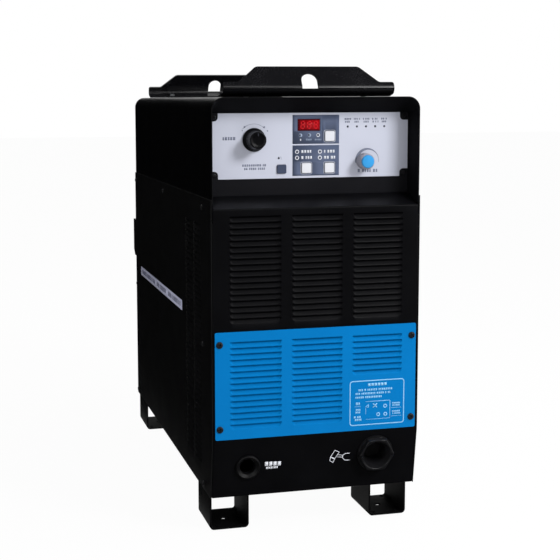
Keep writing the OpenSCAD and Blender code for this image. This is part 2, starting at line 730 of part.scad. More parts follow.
module torch_gland() {
  color("#17181a") translate([torch_x, chin_y(torch_z), torch_z]) rotate([90 + chin_slope, 0, 0]) difference() {
    union() {
      cylinder(r = torch_bore + 13, h = 3, $fn = 64);
      intersection() {
        cylinder(r = gland_af / sqrt(3), h = gland_l, $fn = 6);
        cylinder(r1 = gland_af / sqrt(3) + 4, r2 = gland_af / sqrt(3) - 1.2, h = gland_l, $fn = 64);
      }
      translate([0, 0, -24]) cylinder(r = torch_bore + 4, h = 25);
      translate([0, 0, -sheet - g - 7]) cylinder(r = torch_bore + 11, h = 7, $fn = 6);
    }
    translate([0, 0, -30]) cylinder(r = torch_bore, h = 60);
    translate([0, 0, gland_l]) cube([gland_af * 2, 2.2, 5], center = true);
  }
}

module work_grommet() {
  lip = work_bore + 9;
  color("#161618") translate([work_x, chin_y(work_z), work_z]) rotate([90 + chin_slope, 0, 0]) rotate_extrude($fn = 64)
    polygon(concat([[work_bore, -8], [lip - 2, -8], [lip - 2, -sheet - g], [work_bore + 4, -sheet - g], [work_bore + 4, 0], [lip, 0]],
      arc([lip - 3, 2], 3, 0, 90, 4), arc([work_bore + 3, 2], 3, 90, 180, 4)));
}

// ---------- inner works ----------

// Shelf over the power train, standing on the floor on two cut-out legs
module saddle() {
  color("#9fa3a8") difference() {
    union() {
      slab([-saddle_half, saddle_half], saddle_y, [saddle_z, saddle_z + 2]);
      for (s = [-1, 1]) slab(s > 0 ? [saddle_half - 2, saddle_half] : [-saddle_half, -saddle_half + 2], saddle_y, [floor_top, saddle_z + 1]);
      slab([-saddle_half, saddle_half], [saddle_y[0], saddle_y[0] + 2], [265, saddle_z + 1]);
    }
    for (y = [saddle_y[0] + 50, (saddle_y[0] + saddle_y[1]) / 2 + 20])
      slab([-body_w, body_w], [y, y + 180], [floor_z + 50, saddle_z - 45]);
    slab([-110, 110], [sink_y[0] - 150, sink_y[0] - 40], [saddle_z - cut, saddle_z + 4]);
  }
}

// Laminated core with a coil round its middle leg
module core(x, y, w, d, h, leg) {
  win = (w - 2 * leg) / 2 - leg / 2;
  translate([x, y, floor_top + g]) difference() {
    translate([-w / 2, -d / 2, 0]) cube([w, d, h]);
    for (s = [-1, 1]) translate([s * (leg / 2 + win / 2) - win / 2, -d, leg]) cube([win, 2 * d, h - 2 * leg]);
  }
}
module coil(x, y, w, d, h, leg) {
  win = (w - 2 * leg) / 2 - leg / 2;
  translate([x, y, floor_top + g + leg + g]) linear_extrude(h - 2 * leg - 2 * g) difference() {
    rounded(leg + 2 * win - 2 * g, d + 2 * win - 2 * g, win * 0.7);
    square([leg + 2 * g, d + 2 * g], center = true);
  }
}
module transformer_core() { color("#6d6f73") core(-70, 470, 130, 90, 150, 26); }
module transformer_coil() { color("#b5733a") coil(-70, 470, 130, 90, 150, 26); }
module choke_core() { color("#6d6f73") core(76, 470, 110, 70, 130, 22); }
module choke_coil() { color("#b5733a") coil(76, 470, 110, 70, 130, 22); }

module heat_sink() {
  fins = 14;
  step = (150 - 3) / (fins - 1);
  color("#b8bbc0") along_y(sink_y[0], sink_y[1]) {
    translate([-75, sink_z + 48]) square([150, 12]);
    for (i = [0:fins - 1]) translate([-75 + i * step, sink_z]) square([3, 49]);
  }
}
module power_modules() {
  color("#2b2c30") for (y = [sink_y[0] + 25, sink_y[0] + 110, sink_y[0] + 195]) {
    slab([-47, 47], [y, y + 62], [sink_z + 60, sink_z + 60 + 30]);
    for (x = [-34, 0, 34]) translate([x, y + 31, sink_z + 85]) cylinder(r = 5, h = pcb_z - sink_z - 85);
  }
}
module power_board() {
  color("#1f6b3a") slab([-76, 76], [sink_y[0] + 5, sink_y[1] - 5], [pcb_z, pcb_z + 1.6]);
}
module capacitors() {
  color("#23324f") for (x = [-45, 0, 45], y = [sink_y[0] + 50, sink_y[0] + 140]) translate([x, y, pcb_z + 1.6]) cylinder(r = 17, h = 62);
}

module fan_frame() {
  y0 = fan_back - fan_deep;
  color("#1c1d20") translate([0, 0, fan_z]) {
    difference() {
      along_y(y0, fan_back) rounded(fan_w, fan_w, 8);
      rod_y(fan_bore, y0 - cut, fan_back + cut);
      for (x = [-1, 1], z = [-1, 1]) translate([x * (fan_w / 2 - 9), 0, z * (fan_w / 2 - 9)]) rod_y(2.6, y0 - cut, fan_back + cut);
    }
    for (a = [0, 90, 180, 270]) rotate([0, a + 45, 0]) slab([30, fan_bore + 2], [y0, y0 + 5], [-4, 4]);
    difference() {
      rod_y(36, y0, y0 + 7);
      rod_y(4 + run_gap, y0 + 1, y0 + 9);
    }
  }
}

// Rotor with flat pitched blades, running on its spindle in the frame's motor
module fan_rotor() {
  y0 = fan_back - fan_deep + 7 + 0.5;
  color("#26272b") translate([0, 0, fan_z]) {
    rod_y(38, y0, y0 + 36);
    rod_y(4, y0 - 6, y0 + 1);
    intersection() {
      for (i = [0:6]) rotate([0, i * 360 / 7, 0]) translate([30, y0 + 18, 0]) rotate([34, 0, 0])
        translate([0, -1.4, -27]) cube([fan_r, 2.8, 54]);
      rod_y(fan_r, y0, y0 + 36);
    }
  }
}

// Wire guard: rings on four spokes
module fan_guard() {
  color("#2a2b2e") translate([0, 0, fan_z]) {
    for (r = [24:12.5:fan_bore + 1]) rotate([-90, 0, 0]) translate([0, 0, body_d + guard_deep - 2.6]) rotate_extrude($fn = 64)
      translate([r, 0]) circle(r = 1.5, $fn = 16);
    for (a = [0:3]) rotate([0, a * 90 + 45, 0]) {
      slab([0, guard_r - 4], [body_d + guard_deep - 2.2, body_d + guard_deep], [-2, 2]);
    }
    for (x = [-1, 1], z = [-1, 1]) translate([x * (fan_w / 2 - 9), 0, z * (fan_w / 2 - 9)]) difference() {
      rod_y(6, body_d, body_d + guard_deep);
      rod_y(2.2, body_d - cut, body_d + guard_deep + cut);
    }
    rod_y(14, body_d + guard_deep - 3, body_d + guard_deep);
  }
}

// ---------- rear fittings ----------

// Circuit breaker: bezel outside, case inside, with a pocket for the toggle
module breaker() {
  color("#2d2e33") translate([breaker_x, 0, breaker_z]) difference() {
    union() {
      slab([-36, 36], [body_d, body_d + 5], [-46, 46]);
      slab([-31.5, 31.5], [body_d - 62, body_d + 1], [-41.5, 41.5]);
    }
    slab([-9, 9], [body_d - 15, body_d + cut + 5], [-19, 19]);
    translate([0, body_d, 0]) rod_x(2.5 + run_gap, -14, 14);
  }
}
module breaker_toggle() {
  color("#0d0d0f") translate([breaker_x, body_d, breaker_z]) {
    rod_x(2.5, -13.5, 13.5);
    rod_x(10, -8.6, 8.6);
    rotate([-28, 0, 0]) slab([-6, 6], [0, 24], [-3.5, 3.5]);
  }
}

module air_inlet() {
  color("#c4a24a") translate([inlet_x, 0, inlet_z]) difference() {
    union() {
      rod_y(9, rear_in - 22, body_d + 8);
      translate([0, body_d + 1, 0]) rotate([-90, 0, 0]) cylinder(r = 14, h = 7, $fn = 6);
      rod_y(6.6, body_d + 7, body_d + 24);
      translate([0, rear_in - 8 - g, 0]) rotate([-90, 0, 0]) cylinder(r = 14, h = 8, $fn = 6);
    }
    rod_y(4, rear_in - 30, body_d + 30);
  }
}

module air_line() {
  color("#3567c9") translate([reg_x, 0, reg_z]) difference() {
    rod_y(6, plate_y + 72 + g, rear_in - 22 - g);
    rod_y(4, plate_y + 60, rear_in);
  }
}
module torch_hose() {
  color("#3567c9") translate([block_x, hose_y, 0]) {
    translate([0, 0, valve_z[1] + g]) cylinder(r = 6, h = reg_z - 31 - valve_z[1] - 2 * g);
    translate([0, 0, 146 + g]) cylinder(r = 6, h = valve_z[0] - 146 - 2 * g);
  }
}
module gas_valve() {
  color("#c4a24a") slab([block_x - 20, block_x + 20], valve_y, valve_z);
  color("#2b2c30") translate([block_x + 19, hose_y, (valve_z[0] + valve_z[1]) / 2]) rod_x(16, 0, 36);
}
module torch_block() {
  color("#c4a24a") {
    slab([block_x - 16, block_x + 28], [64, 104], [floor_top + g, 146]);
    translate([torch_x, 0, torch_z - 4]) rod_y(10, 48, 65);
  }
}
module work_terminal() {
  color("#7b3b2a") slab([work_x - 24, work_x + 24], [66, 102], [floor_top + g, floor_top + 52]);
  color("#c4a24a") translate([work_x, 0, floor_top + 34]) {
    rod_y(6, 50, 67);
    translate([0, 54, 0]) rotate([-90, 0, 0]) cylinder(r = 11, h = 8, $fn = 6);
  }
}

// Coupling coil of the arc starter, lying on the floor
module arc_coil() {
  color("#b5733a") translate([0, 190, floor_top + g + 15]) rotate_extrude($fn = 64) translate([38, 0]) circle(r = 15);
}

// Input terminal box behind the rear panel, its floor sloping up to the rear
module input_box() {
  y1 = body_d + box_d;
  color("#1b1b1d") difference() {
    along_x(box_x[0], box_x[1])
      polygon([[body_d, box_z[0]], [y1 - 14, box_z[0]], [y1, box_z[0] + 12], [y1, box_z[1]], [body_d, box_z[1]]]);
    along_x(box_x[0] + sheet, box_x[1] - sheet)
      polygon([[body_d - cut, box_z[0] + sheet], [y1 - 14.5, box_z[0] + sheet], [y1 - sheet, box_z[0] + 12.7],
        [y1 - sheet, box_z[1] - sheet], [body_d - cut, box_z[1] - sheet]]);
    translate([(box_x[0] + box_x[1]) / 2, body_d + 34, box_z[0] - cut]) cylinder(r = 15, h = 4);
  }
}
module input_terminals() {
  mid = (box_x[0] + box_x[1]) / 2;
  color("#d8d3c4") {
    slab([mid - 45, mid + 45], [body_d - 18, body_d + 14], [box_z[0] + 26, box_z[1] - 18]);
    slab([mid - 54, mid + 54], [body_d, body_d + 3], [box_z[0] + 20, box_z[1] - 12]);
  }
  color("#c4a24a") for (x = [-28, 0, 28]) translate([mid + x, 0, (box_z[0] + box_z[1]) / 2 + 4]) {
    rod_y(4, body_d + 13, body_d + 34);
    translate([0, body_d + 14, 0]) rotate([-90, 0, 0]) cylinder(r = 7, h = 6, $fn = 6);
  }
}

// ---------- the part ----------

module placed() { translate([0, -y_mid, 0]) children(); }

placed() base_pan();
placed() front_panel();
placed() chin_panel();
placed() access_cover();
placed() cover_screws();
placed() hood();
placed() side_left();
placed() side_right();
placed() shell_screws();
placed() rear_panel();
placed() recess_frame();
placed() recess_plate();
placed() fascia();
placed() fascia_screws();
placed() display();
placed() leds();
placed() key_mode();
placed() key_gas();
placed() key_set();
placed() key_test();
placed() current_knob();
placed() pot_body();
placed() regulator_knob();
placed() regulator_cap();
placed() regulator_body();
placed() control_board();
placed() rail_front();
placed() rail_rear();
placed() rail_bolts();
placed() foot_front_left();
placed() foot_front_right();
placed() foot_rear_left();
placed() foot_rear_right();
placed() foot_bolts();
placed() torch_gland();
placed() work_grommet();
placed() saddle();
placed() transformer_core();
placed() transformer_coil();
placed() choke_core();
placed() choke_coil();
placed() heat_sink();
placed() power_modules();
placed() power_board();
placed() capacitors();
placed() fan_frame();
placed() fan_rotor();
placed() fan_guard();
placed() breaker();
placed() breaker_toggle();
placed() air_inlet();
placed() air_line();
placed() torch_hose();
placed() gas_valve();
placed() torch_block();
placed() work_terminal();
placed() arc_coil();
placed() input_box();
placed() input_terminals();
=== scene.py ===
import json
import math

import bmesh
import bpy
import numpy as np
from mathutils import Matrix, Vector

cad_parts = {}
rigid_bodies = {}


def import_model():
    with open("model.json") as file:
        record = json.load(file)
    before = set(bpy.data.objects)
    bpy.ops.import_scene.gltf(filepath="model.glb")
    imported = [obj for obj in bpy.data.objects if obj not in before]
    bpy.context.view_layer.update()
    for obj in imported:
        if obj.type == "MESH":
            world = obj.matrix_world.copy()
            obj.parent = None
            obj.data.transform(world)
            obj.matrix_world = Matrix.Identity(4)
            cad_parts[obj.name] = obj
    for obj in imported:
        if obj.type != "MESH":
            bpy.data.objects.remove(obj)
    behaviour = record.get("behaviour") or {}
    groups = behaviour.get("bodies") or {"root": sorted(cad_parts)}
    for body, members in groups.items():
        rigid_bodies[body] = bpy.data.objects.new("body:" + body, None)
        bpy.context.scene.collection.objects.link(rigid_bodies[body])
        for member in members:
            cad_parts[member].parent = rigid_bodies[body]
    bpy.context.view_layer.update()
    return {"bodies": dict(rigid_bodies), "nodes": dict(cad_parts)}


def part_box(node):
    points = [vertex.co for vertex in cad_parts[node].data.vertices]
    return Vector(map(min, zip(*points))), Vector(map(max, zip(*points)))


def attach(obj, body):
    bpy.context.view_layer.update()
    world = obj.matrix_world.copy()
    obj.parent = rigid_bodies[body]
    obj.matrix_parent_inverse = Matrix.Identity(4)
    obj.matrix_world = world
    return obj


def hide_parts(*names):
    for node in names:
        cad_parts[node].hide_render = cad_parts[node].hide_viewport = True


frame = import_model()
NODES = frame["nodes"]
BODY = {n: next(b for b, e in frame["bodies"].items() if e == o.parent) for n, o in NODES.items()}
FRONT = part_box("hood")[0].y
TAU = 2 * math.pi

# Places below are in millimetres: x from the middle, y from the front face, z from the ground.
W_OUT, HOOD_OUT, SHEET = 175.0, 173.2, 1.5
DEEP, FLOOR_Z, CHIN_Z, BROW_Z, HOOD_Z = 745.0, 62.0, 160.0, 533.0, 708.0
FASCIA_Y, COVER_Y = 39.0, -1.8
# The lower front leans back 14 mm over 98 mm of height.
LEAN_Y = 14.0
LEAN = LEAN_Y / 98.0
# Prints on top of the slate blocks lie 0.1 mm in front of them.
INK_Y = FASCIA_Y - 0.1
# Louvres: pitch, height and depth of a slot, distance between columns, width of one, length of a slot's rounded end.
PITCH, SLOT_H, SLOT_D, STEP, LOUVRE_W, EASE = 9.6, 8.8, 5.6, 102.8, 86.0, 8.0
# Points closer than this, in metres, are one.
WELD = 2e-6


def row(points):
    """Layout millimetres to metres in the frame."""
    p = np.asarray(points, float) * 0.001
    p[..., 1] += FRONT
    return p


# ---------- meshes ----------


def placed(name, data):
    """A new object in the scene."""
    obj = bpy.data.objects.new(name, data)
    bpy.context.scene.collection.objects.link(obj)
    return obj


def smoothed(name, mesh, bm, angle):
    """The object of an edited mesh, smooth but for edges sharper than angle."""
    bm.to_mesh(mesh)
    bm.free()
    mesh.shade_smooth()
    mesh.set_sharp_from_angle(angle=math.radians(angle))
    return placed(name, mesh)


def sew(name, patches, out=None, angle=32):
    """One mesh from grids of points. Each patch is (rows x columns x 3 points, mask of kept cells or None, closed
    along a row). With out, each patch faces that side on average; without, a closed shape's faces turn outward."""
    verts, faces, base = [], [], 0
    for grid, keep, closed in patches:
        m, n = grid.shape[:2]
        index = np.arange(m * n).reshape(m, n) + base
        if closed:
            index = np.hstack([index, index[:, :1]])
        quads = np.stack([index[:-1, :-1], index[:-1, 1:], index[1:, 1:], index[1:, :-1]], -1)
        quads = quads.reshape(-1, 4) if keep is None else quads[keep]
        points = row(grid).reshape(-1, 3)
        if out is not None:
            a, b, c, d = (points[quads[:, i] - base] for i in range(4))
            if (np.cross(c - a, d - b).sum(0) * np.asarray(out, float)).sum() < 0:
                quads = quads[:, ::-1]
        faces.append(quads)
        verts.append(points)
        base += m * n
    verts, faces = np.concatenate(verts), np.concatenate(faces)
    mesh = bpy.data.meshes.new(name)
    mesh.from_pydata(verts.tolist(), [], faces.tolist())
    bm = bmesh.new()
    bm.from_mesh(mesh)
    bmesh.ops.remove_doubles(bm, verts=bm.verts, dist=WELD)
    bmesh.ops.dissolve_degenerate(bm, edges=bm.edges, dist=WELD)
    loose = [v for v in bm.verts if not v.link_faces]
    bmesh.ops.delete(bm, geom=loose, context="VERTS")
    if out is None:
        bmesh.ops.recalc_face_normals(bm, faces=bm.faces)
    return smoothed(name, mesh, bm, angle)


def walls(obj, thick, offset=-1.0):
    """Sheet thickness in millimetres, laid on the side away from the faces."""
    mod = obj.modifiers.new("wall", "SOLIDIFY")
    mod.thickness, mod.offset, mod.use_even_offset = thick * 0.001, offset, False
    return obj


def edges(obj, width):
    """Rounded edges, width in millimetres."""
    mod = obj.modifiers.new("edges", "BEVEL")
    mod.width, mod.segments, mod.limit_method = width * 0.001, 2, "ANGLE"
    mod.angle_limit, mod.harden_normals = math.radians(35), True
    return obj


def fit(obj, finish, node=None, body=None, replaces=()):
    """Gives a piece its finish, slot and body, and hides the nodes that it stands for."""
    obj.data.materials.clear()
    obj.data.materials.append(finish)
    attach(obj, body or BODY[node or replaces[0]])
    if replaces:
        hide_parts(*replaces)
    return obj


def eased(node, finish, width=0.4):
    """The node's own form, merged, with its edges rounded as the real part's are."""
    mesh = NODES[node].data.copy()
    mesh.name = node + "_eased"
    bm = bmesh.new()
    bm.from_mesh(mesh)
    bmesh.ops.remove_doubles(bm, verts=bm.verts, dist=WELD)
    bmesh.ops.dissolve_limit(bm, angle_limit=0.02, verts=bm.verts, edges=bm.edges)
    obj = smoothed(node + "_eased", mesh, bm, 30)
    obj.matrix_world = NODES[node].matrix_world.copy()
    if width:
        edges(obj, width)
    return fit(obj, finish, replaces=(node,))


def clothe(node, finish):
    """The node itself, shown in its finish."""
    mesh = NODES[node].data
    if not mesh.materials:
        mesh.materials.append(finish)
    for i in range(len(mesh.materials)):
        mesh.materials[i] = finish


def steps(a, b, n):
    return np.linspace(a, b, n + 1)


def merged(*parts):
    """The lines of a grid in rising order, each once."""
    line = np.sort(np.concatenate([np.atleast_1d(np.asarray(p, float)) for p in parts]))
    return line[np.concatenate([[True], np.diff(line) > 1e-6])]


def distances(path):
    """Distance of each point from the start, along a path."""
    return np.concatenate([[0], np.cumsum(np.linalg.norm(np.diff(path, axis=0), axis=1))])


def rounded_path(points, radii, n=5):
    """A path in a plane whose inner corners are arcs: corner P between unit legs u and v gets the arc of radius r
    that touches both, from P + u r tan(h) to P + v r tan(h), h being half of the turn."""
    out = [points[0]]
    for i, r in enumerate(radii, 1):
        p, a, b = (np.asarray(points[j], float) for j in (i, i - 1, i + 1))
        u, v = (a - p) / np.linalg.norm(a - p), (b - p) / np.linalg.norm(b - p)
        half = 0.5 * (math.pi - math.acos(float(np.clip(u @ v, -1, 1))))
        reach = r * math.tan(half)
        mid = p + (u + v) / np.linalg.norm(u + v) * r / math.cos(half)
        s, e = p + u * reach - mid, p + v * reach - mid
        turn = 2 * half
        side = math.copysign(1, s[0] * e[1] - s[1] * e[0])
        for k in range(n + 1):
            t = side * turn * k / n
            cos, sin = math.cos(t), math.sin(t)
            out.append((mid[0] + s[0] * cos - s[1] * sin, mid[1] + s[0] * sin + s[1] * cos))
    out.append(points[-1])
    return np.array(out, float)


def along(path, s):
    """Points and left-hand normals of a plane path at the distances s along it."""
    legs = np.diff(path, axis=0)
    d = distances(path)
    n = np.stack([-legs[:, 1], legs[:, 0]], 1) / np.diff(d)[:, None]
    at_knots = np.concatenate([n[:1], n[:-1] + n[1:], n[-1:]])
    at_knots /= np.linalg.norm(at_knots, axis=1)[:, None]
    point = np.stack([np.interp(s, d, path[:, i]) for i in (0, 1)], -1)
    normal = np.stack([np.interp(s, d, at_knots[:, i]) for i in (0, 1)], -1)
    return point, normal / np.linalg.norm(normal, axis=-1, keepdims=True)


def louvred(a, b, fields):
    """The flat pattern of a louvred sheet: a runs across and b along it.

    fields is a list of (a0, a1, tops): columns from a0 to a1 with a slot ending at each height in tops. Across one
    slot, e(a) is 1 in the middle and falls to 0 over the last EASE mm as a quarter circle. The slot's tongue starts on
    the sheet at b = top - SLOT_H e and leans in by SLOT_D e t^1.05 as it rises, t being the share of its height, to
    b = top, where the sheet starts again. Returns a, b and depth of the grid points and the mask of kept cells."""
    ends = 1 - np.cos(steps(0, math.pi / 2, 5))
    cols = [a]
    for a0, a1, _ in fields:
        cols += [a0 + EASE * ends, a1 - EASE * ends, steps(a0 + EASE, a1 - EASE, 4)]
    a = merged(*cols)
    tops = sorted({round(float(t), 4) for f in fields for t in f[2]})
    rise = np.array([0, 0.14, 0.34, 0.56, 0.78, 1.0])
    plain = np.array([v for v in np.atleast_1d(b) if all(not (t - SLOT_H - 0.01 <= v <= t + 0.01) for t in tops)])
    # Rows of (height, slot's top or None, share of the tongue's height), a share of 2 being the sheet's new start.
    resume = 2.0
    rows = [(v, None, 0.0) for v in plain] + [(t, t, r) for t in tops for r in (*rise, resume)]

    def order(entry):
        v, top, r = entry
        return v if top is None else top - SLOT_H * (1 - min(r, 1.0)) + (0.001 if r == resume else 0.0)

    rows.sort(key=order)
    height = np.zeros((len(rows), len(a)))
    depth = np.zeros_like(height)
    slot = np.zeros((len(rows) - 1, len(a) - 1), bool)
    for i, (v, top, r) in enumerate(rows):
        if top is None:
            height[i] = v
            continue
        e = np.zeros(len(a))
        for a0, a1, its in fields:
            if np.any(np.abs(np.asarray(its) - top) < 1e-3):
                near = np.clip(np.minimum(a - a0, a1 - a) / EASE, 0, 1)
                e = np.maximum(e, np.sqrt(np.clip(1 - (1 - near) ** 2, 0, 1)) * ((a >= a0) & (a <= a1)))
        if r == resume:
            height[i] = top
            if i:
                slot[i - 1] = (e[:-1] + e[1:]) > 1e-6
        else:
            height[i] = top - SLOT_H * e * (1 - r)
            depth[i] = SLOT_D * e * r**1.05
    return np.broadcast_to(a, height.shape), height, depth, ~slot


def outline(half_w, half_h, r, n=6):
    """A rounded rectangle's outline, (points x 2), anticlockwise."""
    turn = [steps(k * math.pi / 2, (k + 1) * math.pi / 2, n) for k in range(4)]
    cx = np.array([1, -1, -1, 1]) * (half_w - r)
    cy = np.array([1, 1, -1, -1]) * (half_h - r)
    corners = [np.stack([cx[k] + r * np.cos(turn[k]), cy[k] + r * np.sin(turn[k])], 1) for k in range(4)]
    return np.concatenate(corners)


def on_box(points, x0, x1, z0, z1):
    """Each point of a rounded rectangle's outline moved out to a rectangle round it. A corner's arc, offsets (u, v)
    from its centre, is spread over the two sides there: (u, v) / max(|u|, |v|) = (1, 1) reaches the far corner."""
    arcs = points.reshape(4, -1, 2)
    far = np.array([[x1, z1], [x0, z1], [x0, z0], [x1, z0]], float)
    first, last = arcs[:, 0], arcs[:, -1]
    even = (np.arange(4) % 2 == 0)[:, None]
    one, other = np.stack([last[:, 0], first[:, 1]], 1), np.stack([first[:, 0], last[:, 1]], 1)
    mid = np.where(even, one, other)[:, None]
    off = np.abs(arcs - mid)
    off /= off.max(axis=2, keepdims=True)
    return (mid + (far[:, None] - mid) * off).reshape(-1, 2)


def flat_xz(points, y):
    """Plane (x, z) points as a grid row at depth y."""
    return np.stack([points[..., 0], np.full(points.shape[:-1], float(y)), points[..., 1]], -1)


def turned(profile, n, centre, flute=None):
    """A form turned about an axis along -y at centre: profile is rows of (radius, distance forward).
    flute(angle, distance) is a factor on the radius."""
    ang = np.arange(n) * TAU / n
    r, d = np.array(profile, float).T
    k = np.ones((len(r), n)) if flute is None else flute(ang[None, :], d[:, None])
    x = r[:, None] * k * np.cos(ang) + centre[0]
    z = r[:, None] * k * np.sin(ang) + centre[2]
    y = centre[1] - np.broadcast_to(d[:, None], x.shape)
    return (np.stack([x, y, z], -1), None, True)


def stroke(points, width, y, closed=False):
    """A printed line: a flat band of that width along a path in the (x, z) plane."""
    p = np.asarray(points, float)
    if closed:
        p = np.vstack([p, p[:1]])
    legs = np.diff(p, axis=0)
    n = np.stack([-legs[:, 1], legs[:, 0]], 1) / np.linalg.norm(legs, axis=1)[:, None]
    first = n[-1:] + n[:1] if closed else n[:1]
    last = first if closed else n[-1:]
    knots = np.concatenate([first, n[:-1] + n[1:], last])
    knots /= np.maximum(np.linalg.norm(knots, axis=1), 1e-9)[:, None]
    ref = np.concatenate([n[:1], n])
    knots /= np.maximum((knots * ref).sum(1), 0.5)[:, None]
    return (flat_xz(np.stack([p - knots * width / 2, p + knots * width / 2]), y), None, False)


def patch(x0, x1, z0, z1, y):
    """A printed bar."""
    return (flat_xz(np.array([[[x0, z0], [x1, z0]], [[x0, z1], [x1, z1]]], float), y), None, False)


def disc(x, z, r, y, inner=0.0):
    """A printed dot, or a ring with inner above 0."""
    t = np.arange(24) * TAU / 24
    ring = [np.stack([x + k * np.cos(t), z + k * np.sin(t)], 1) for k in (max(inner, 1e-4), r)]
    return (flat_xz(np.stack(ring), y), None, True)


def bars(x0, x1, z, height, y, seed, lines=1, gap=1.4):
    """Generic stand-in for small print: rows of short bars with the rhythm of words but no letters."""
    rng = np.random.default_rng(seed)
    made, size = [], (height - gap * (lines - 1)) / lines
    for k in range(lines):
        top = z - k * (size + gap)
        x = x0 + (0 if k == 0 else rng.uniform(0, 0.12) * (x1 - x0))
        end = x1 - (0 if k == 0 else rng.uniform(0, 0.12) * (x1 - x0))
        while x < end - size * 0.4:
            w = min(size * rng.uniform(0.45, 0.8), end - x)
            made.append(patch(x, x + w, top - size, top, y))
            x += w + size * (0.28 if rng.uniform() < 0.8 else 0.8)
    return made


def plate(name, patches, out, width, finish, node, thick=SHEET, angle=32):
    """Sheet metal from its outer face, with edges rounded by width, in place of the node."""
    obj = edges(walls(sew(name, patches, out=out, angle=angle), thick), width)
    fit(obj, finish, replaces=(node,))


def printed(name, patches, finish, node, out=(0, -1, 0), thick=0.08):
    """Ink on a panel: flat shapes with the thickness of a thick ink film."""
    fit(walls(sew(name, patches, out=out), thick, 0.9), finish, node=node)


def pan_heads(name, spots, radius, height, node):
    """Pan-head screws with a cross recess. A spot is (centre, axis, turn of the cross). With q the distance from the
    axis as a share of the radius, a head is h (1 - 0.62 q^4) high, less the recess: 0.55 h (1 - w / 0.16) where w, the
    distance from the middle of the nearer arm of the cross, is under 0.16. The arms reach q = arm_end."""
    arm_end = 0.62
    q = np.concatenate([steps(0, 0.6, 6), [0.72, 0.84, 0.93, 0.985, 1.0, 1.0]])
    t = np.arange(32) * TAU / 32
    lift = np.where(np.arange(len(q)) == len(q) - 1, 0.0, 1 - 0.62 * q**4)
    qq, tt = np.meshgrid(q, t, indexing="ij")
    u, v = np.abs(qq * np.cos(tt)), np.abs(qq * np.sin(tt))
    arm = np.minimum(np.where(u < arm_end, v, 9), np.where(v < arm_end, u, 9))
    cut = 0.55 * np.clip(1 - arm / 0.16, 0, 1) * (np.maximum(u, v) < arm_end + 0.01)
    h = height * (lift[:, None] - cut)
    made = []
    for c, axis, spin in spots:
        c, axis = np.asarray(c, float), np.asarray(axis, float)
        side = np.cross(axis, (0, 0, 1.0))
        up = np.cross(side, axis)
        a = qq * radius * np.cos(tt + spin)
        b = qq * radius * np.sin(tt + spin)
        head = c + a[..., None] * side + b[..., None] * up + h[..., None] * axis
        made += [(head, None, True), (np.stack([head[-1], np.broadcast_to(c, (len(t), 3))]), None, True)]
    fit(sew(name, made, angle=40), oxide, replaces=(node,))


# ---------- finishes ----------


def linear(text):
    """sRGB hex to linear RGBA."""
    c = np.array([int(text[i : i + 2], 16) for i in (1, 3, 5)]) / 255
    return (*np.where(c <= 0.04045, c / 12.92, ((c + 0.055) / 1.055) ** 2.4).tolist(), 1.0)


def put(tree, kind, inputs=None, **settings):
    """Adds one shader node; an input is a value, or the socket that feeds it."""
    node = tree.nodes.new(kind)
    for key, value in settings.items():
        setattr(node, key, value)
    for key, value in (inputs or {}).items():
        if isinstance(value, bpy.types.NodeSocket):
            tree.links.new(value, node.inputs[key])
        else:
            node.inputs[key].default_value = value
    return node


def blank(name):
    m = bpy.data.materials.new(name)
    m.use_nodes = True
    m.node_tree.nodes.clear()
    return m, m.node_tree


def surface(name, colour, rough, second, mottle=60.0, grain=1.0, bump=0.0, wave=0.0, spec=0.5, **sockets):
    """A painted, moulded or rolled surface: two close tones in broad patches, a roughness that drifts with them by
    0.06, and a fine grain that rises by bump mm. mottle and grain are the sizes of both in mm. wave adds a slow
    unevenness of that many mm, as in a folded sheet. spec is the specular level."""
    m, tree = blank(name)
    at = put(tree, "ShaderNodeTexCoord").outputs["Object"]
    broad = put(tree, "ShaderNodeTexNoise", {"Vector": at, "Scale": 1000 / mottle, "Detail": 4.0})
    fine = put(tree, "ShaderNodeTexNoise", {"Vector": at, "Scale": 1000 / grain, "Detail": 2.0})
    tone = put(tree, "ShaderNodeMapRange", {"Value": broad.outputs["Fac"], "From Min": 0.25, "From Max": 0.75})
    tones = {0: tone.outputs[0], 6: linear(colour), 7: linear(second)}
    mix = put(tree, "ShaderNodeMix", tones, data_type="RGBA")
    both = put(tree, "ShaderNodeMath", {0: broad.outputs["Fac"], 1: fine.outputs["Fac"]}, operation="ADD")
    span = {"From Min": 0.6, "From Max": 1.4, "To Min": max(rough - 0.06, 0.02), "To Max": min(rough + 0.06, 1)}
    gloss = put(tree, "ShaderNodeMapRange", {"Value": both.outputs[0], **span})
    ins = {"Base Color": mix.outputs[2], "Roughness": gloss.outputs[0], "Specular IOR Level": spec}
    if bump:
        rise = put(tree, "ShaderNodeBump", {"Height": fine.outputs["Fac"], "Strength": 1.0, "Distance": bump * 0.001})
        if wave:
            slow = {"Height": broad.outputs["Fac"], "Strength": 1.0, "Distance": wave * 0.001}
            rise = put(tree, "ShaderNodeBump", {**slow, "Normal": rise.outputs[0]})
        ins["Normal"] = rise.outputs[0]
    ins.update(sockets)
    shader = put(tree, "ShaderNodeBsdfPrincipled", ins)
    put(tree, "ShaderNodeOutputMaterial", {"Surface": shader.outputs[0]})
    return m


def ink(name, colour, rough, second, **more):
    """A thin, even, matt print."""
    return surface(name, colour, rough, second, grain=0.4, bump=0.003, spec=0.2, **more)


def film(name, colour, second, spec):
    """Polycarbonate film, printed on its back, with a fine satin texture."""
    return surface(name, colour, 0.42, second, mottle=120, grain=0.6, bump=0.004, spec=spec)


def lit(colour):
    """A faint glow."""
    return {"Emission Color": linear(colour), "Emission Strength": 0.12}


# Black powder coat on folded steel: near-black, satin, with a fine orange-peel grain (drawn 1.4 mm, a little coarse).
peel = {"grain": 1.4, "bump": 0.012, "wave": 0.15}
powder_black = surface("powder_coat_black", "#09090b", 0.36, "#0c0c0f", spec=0.2, **peel)
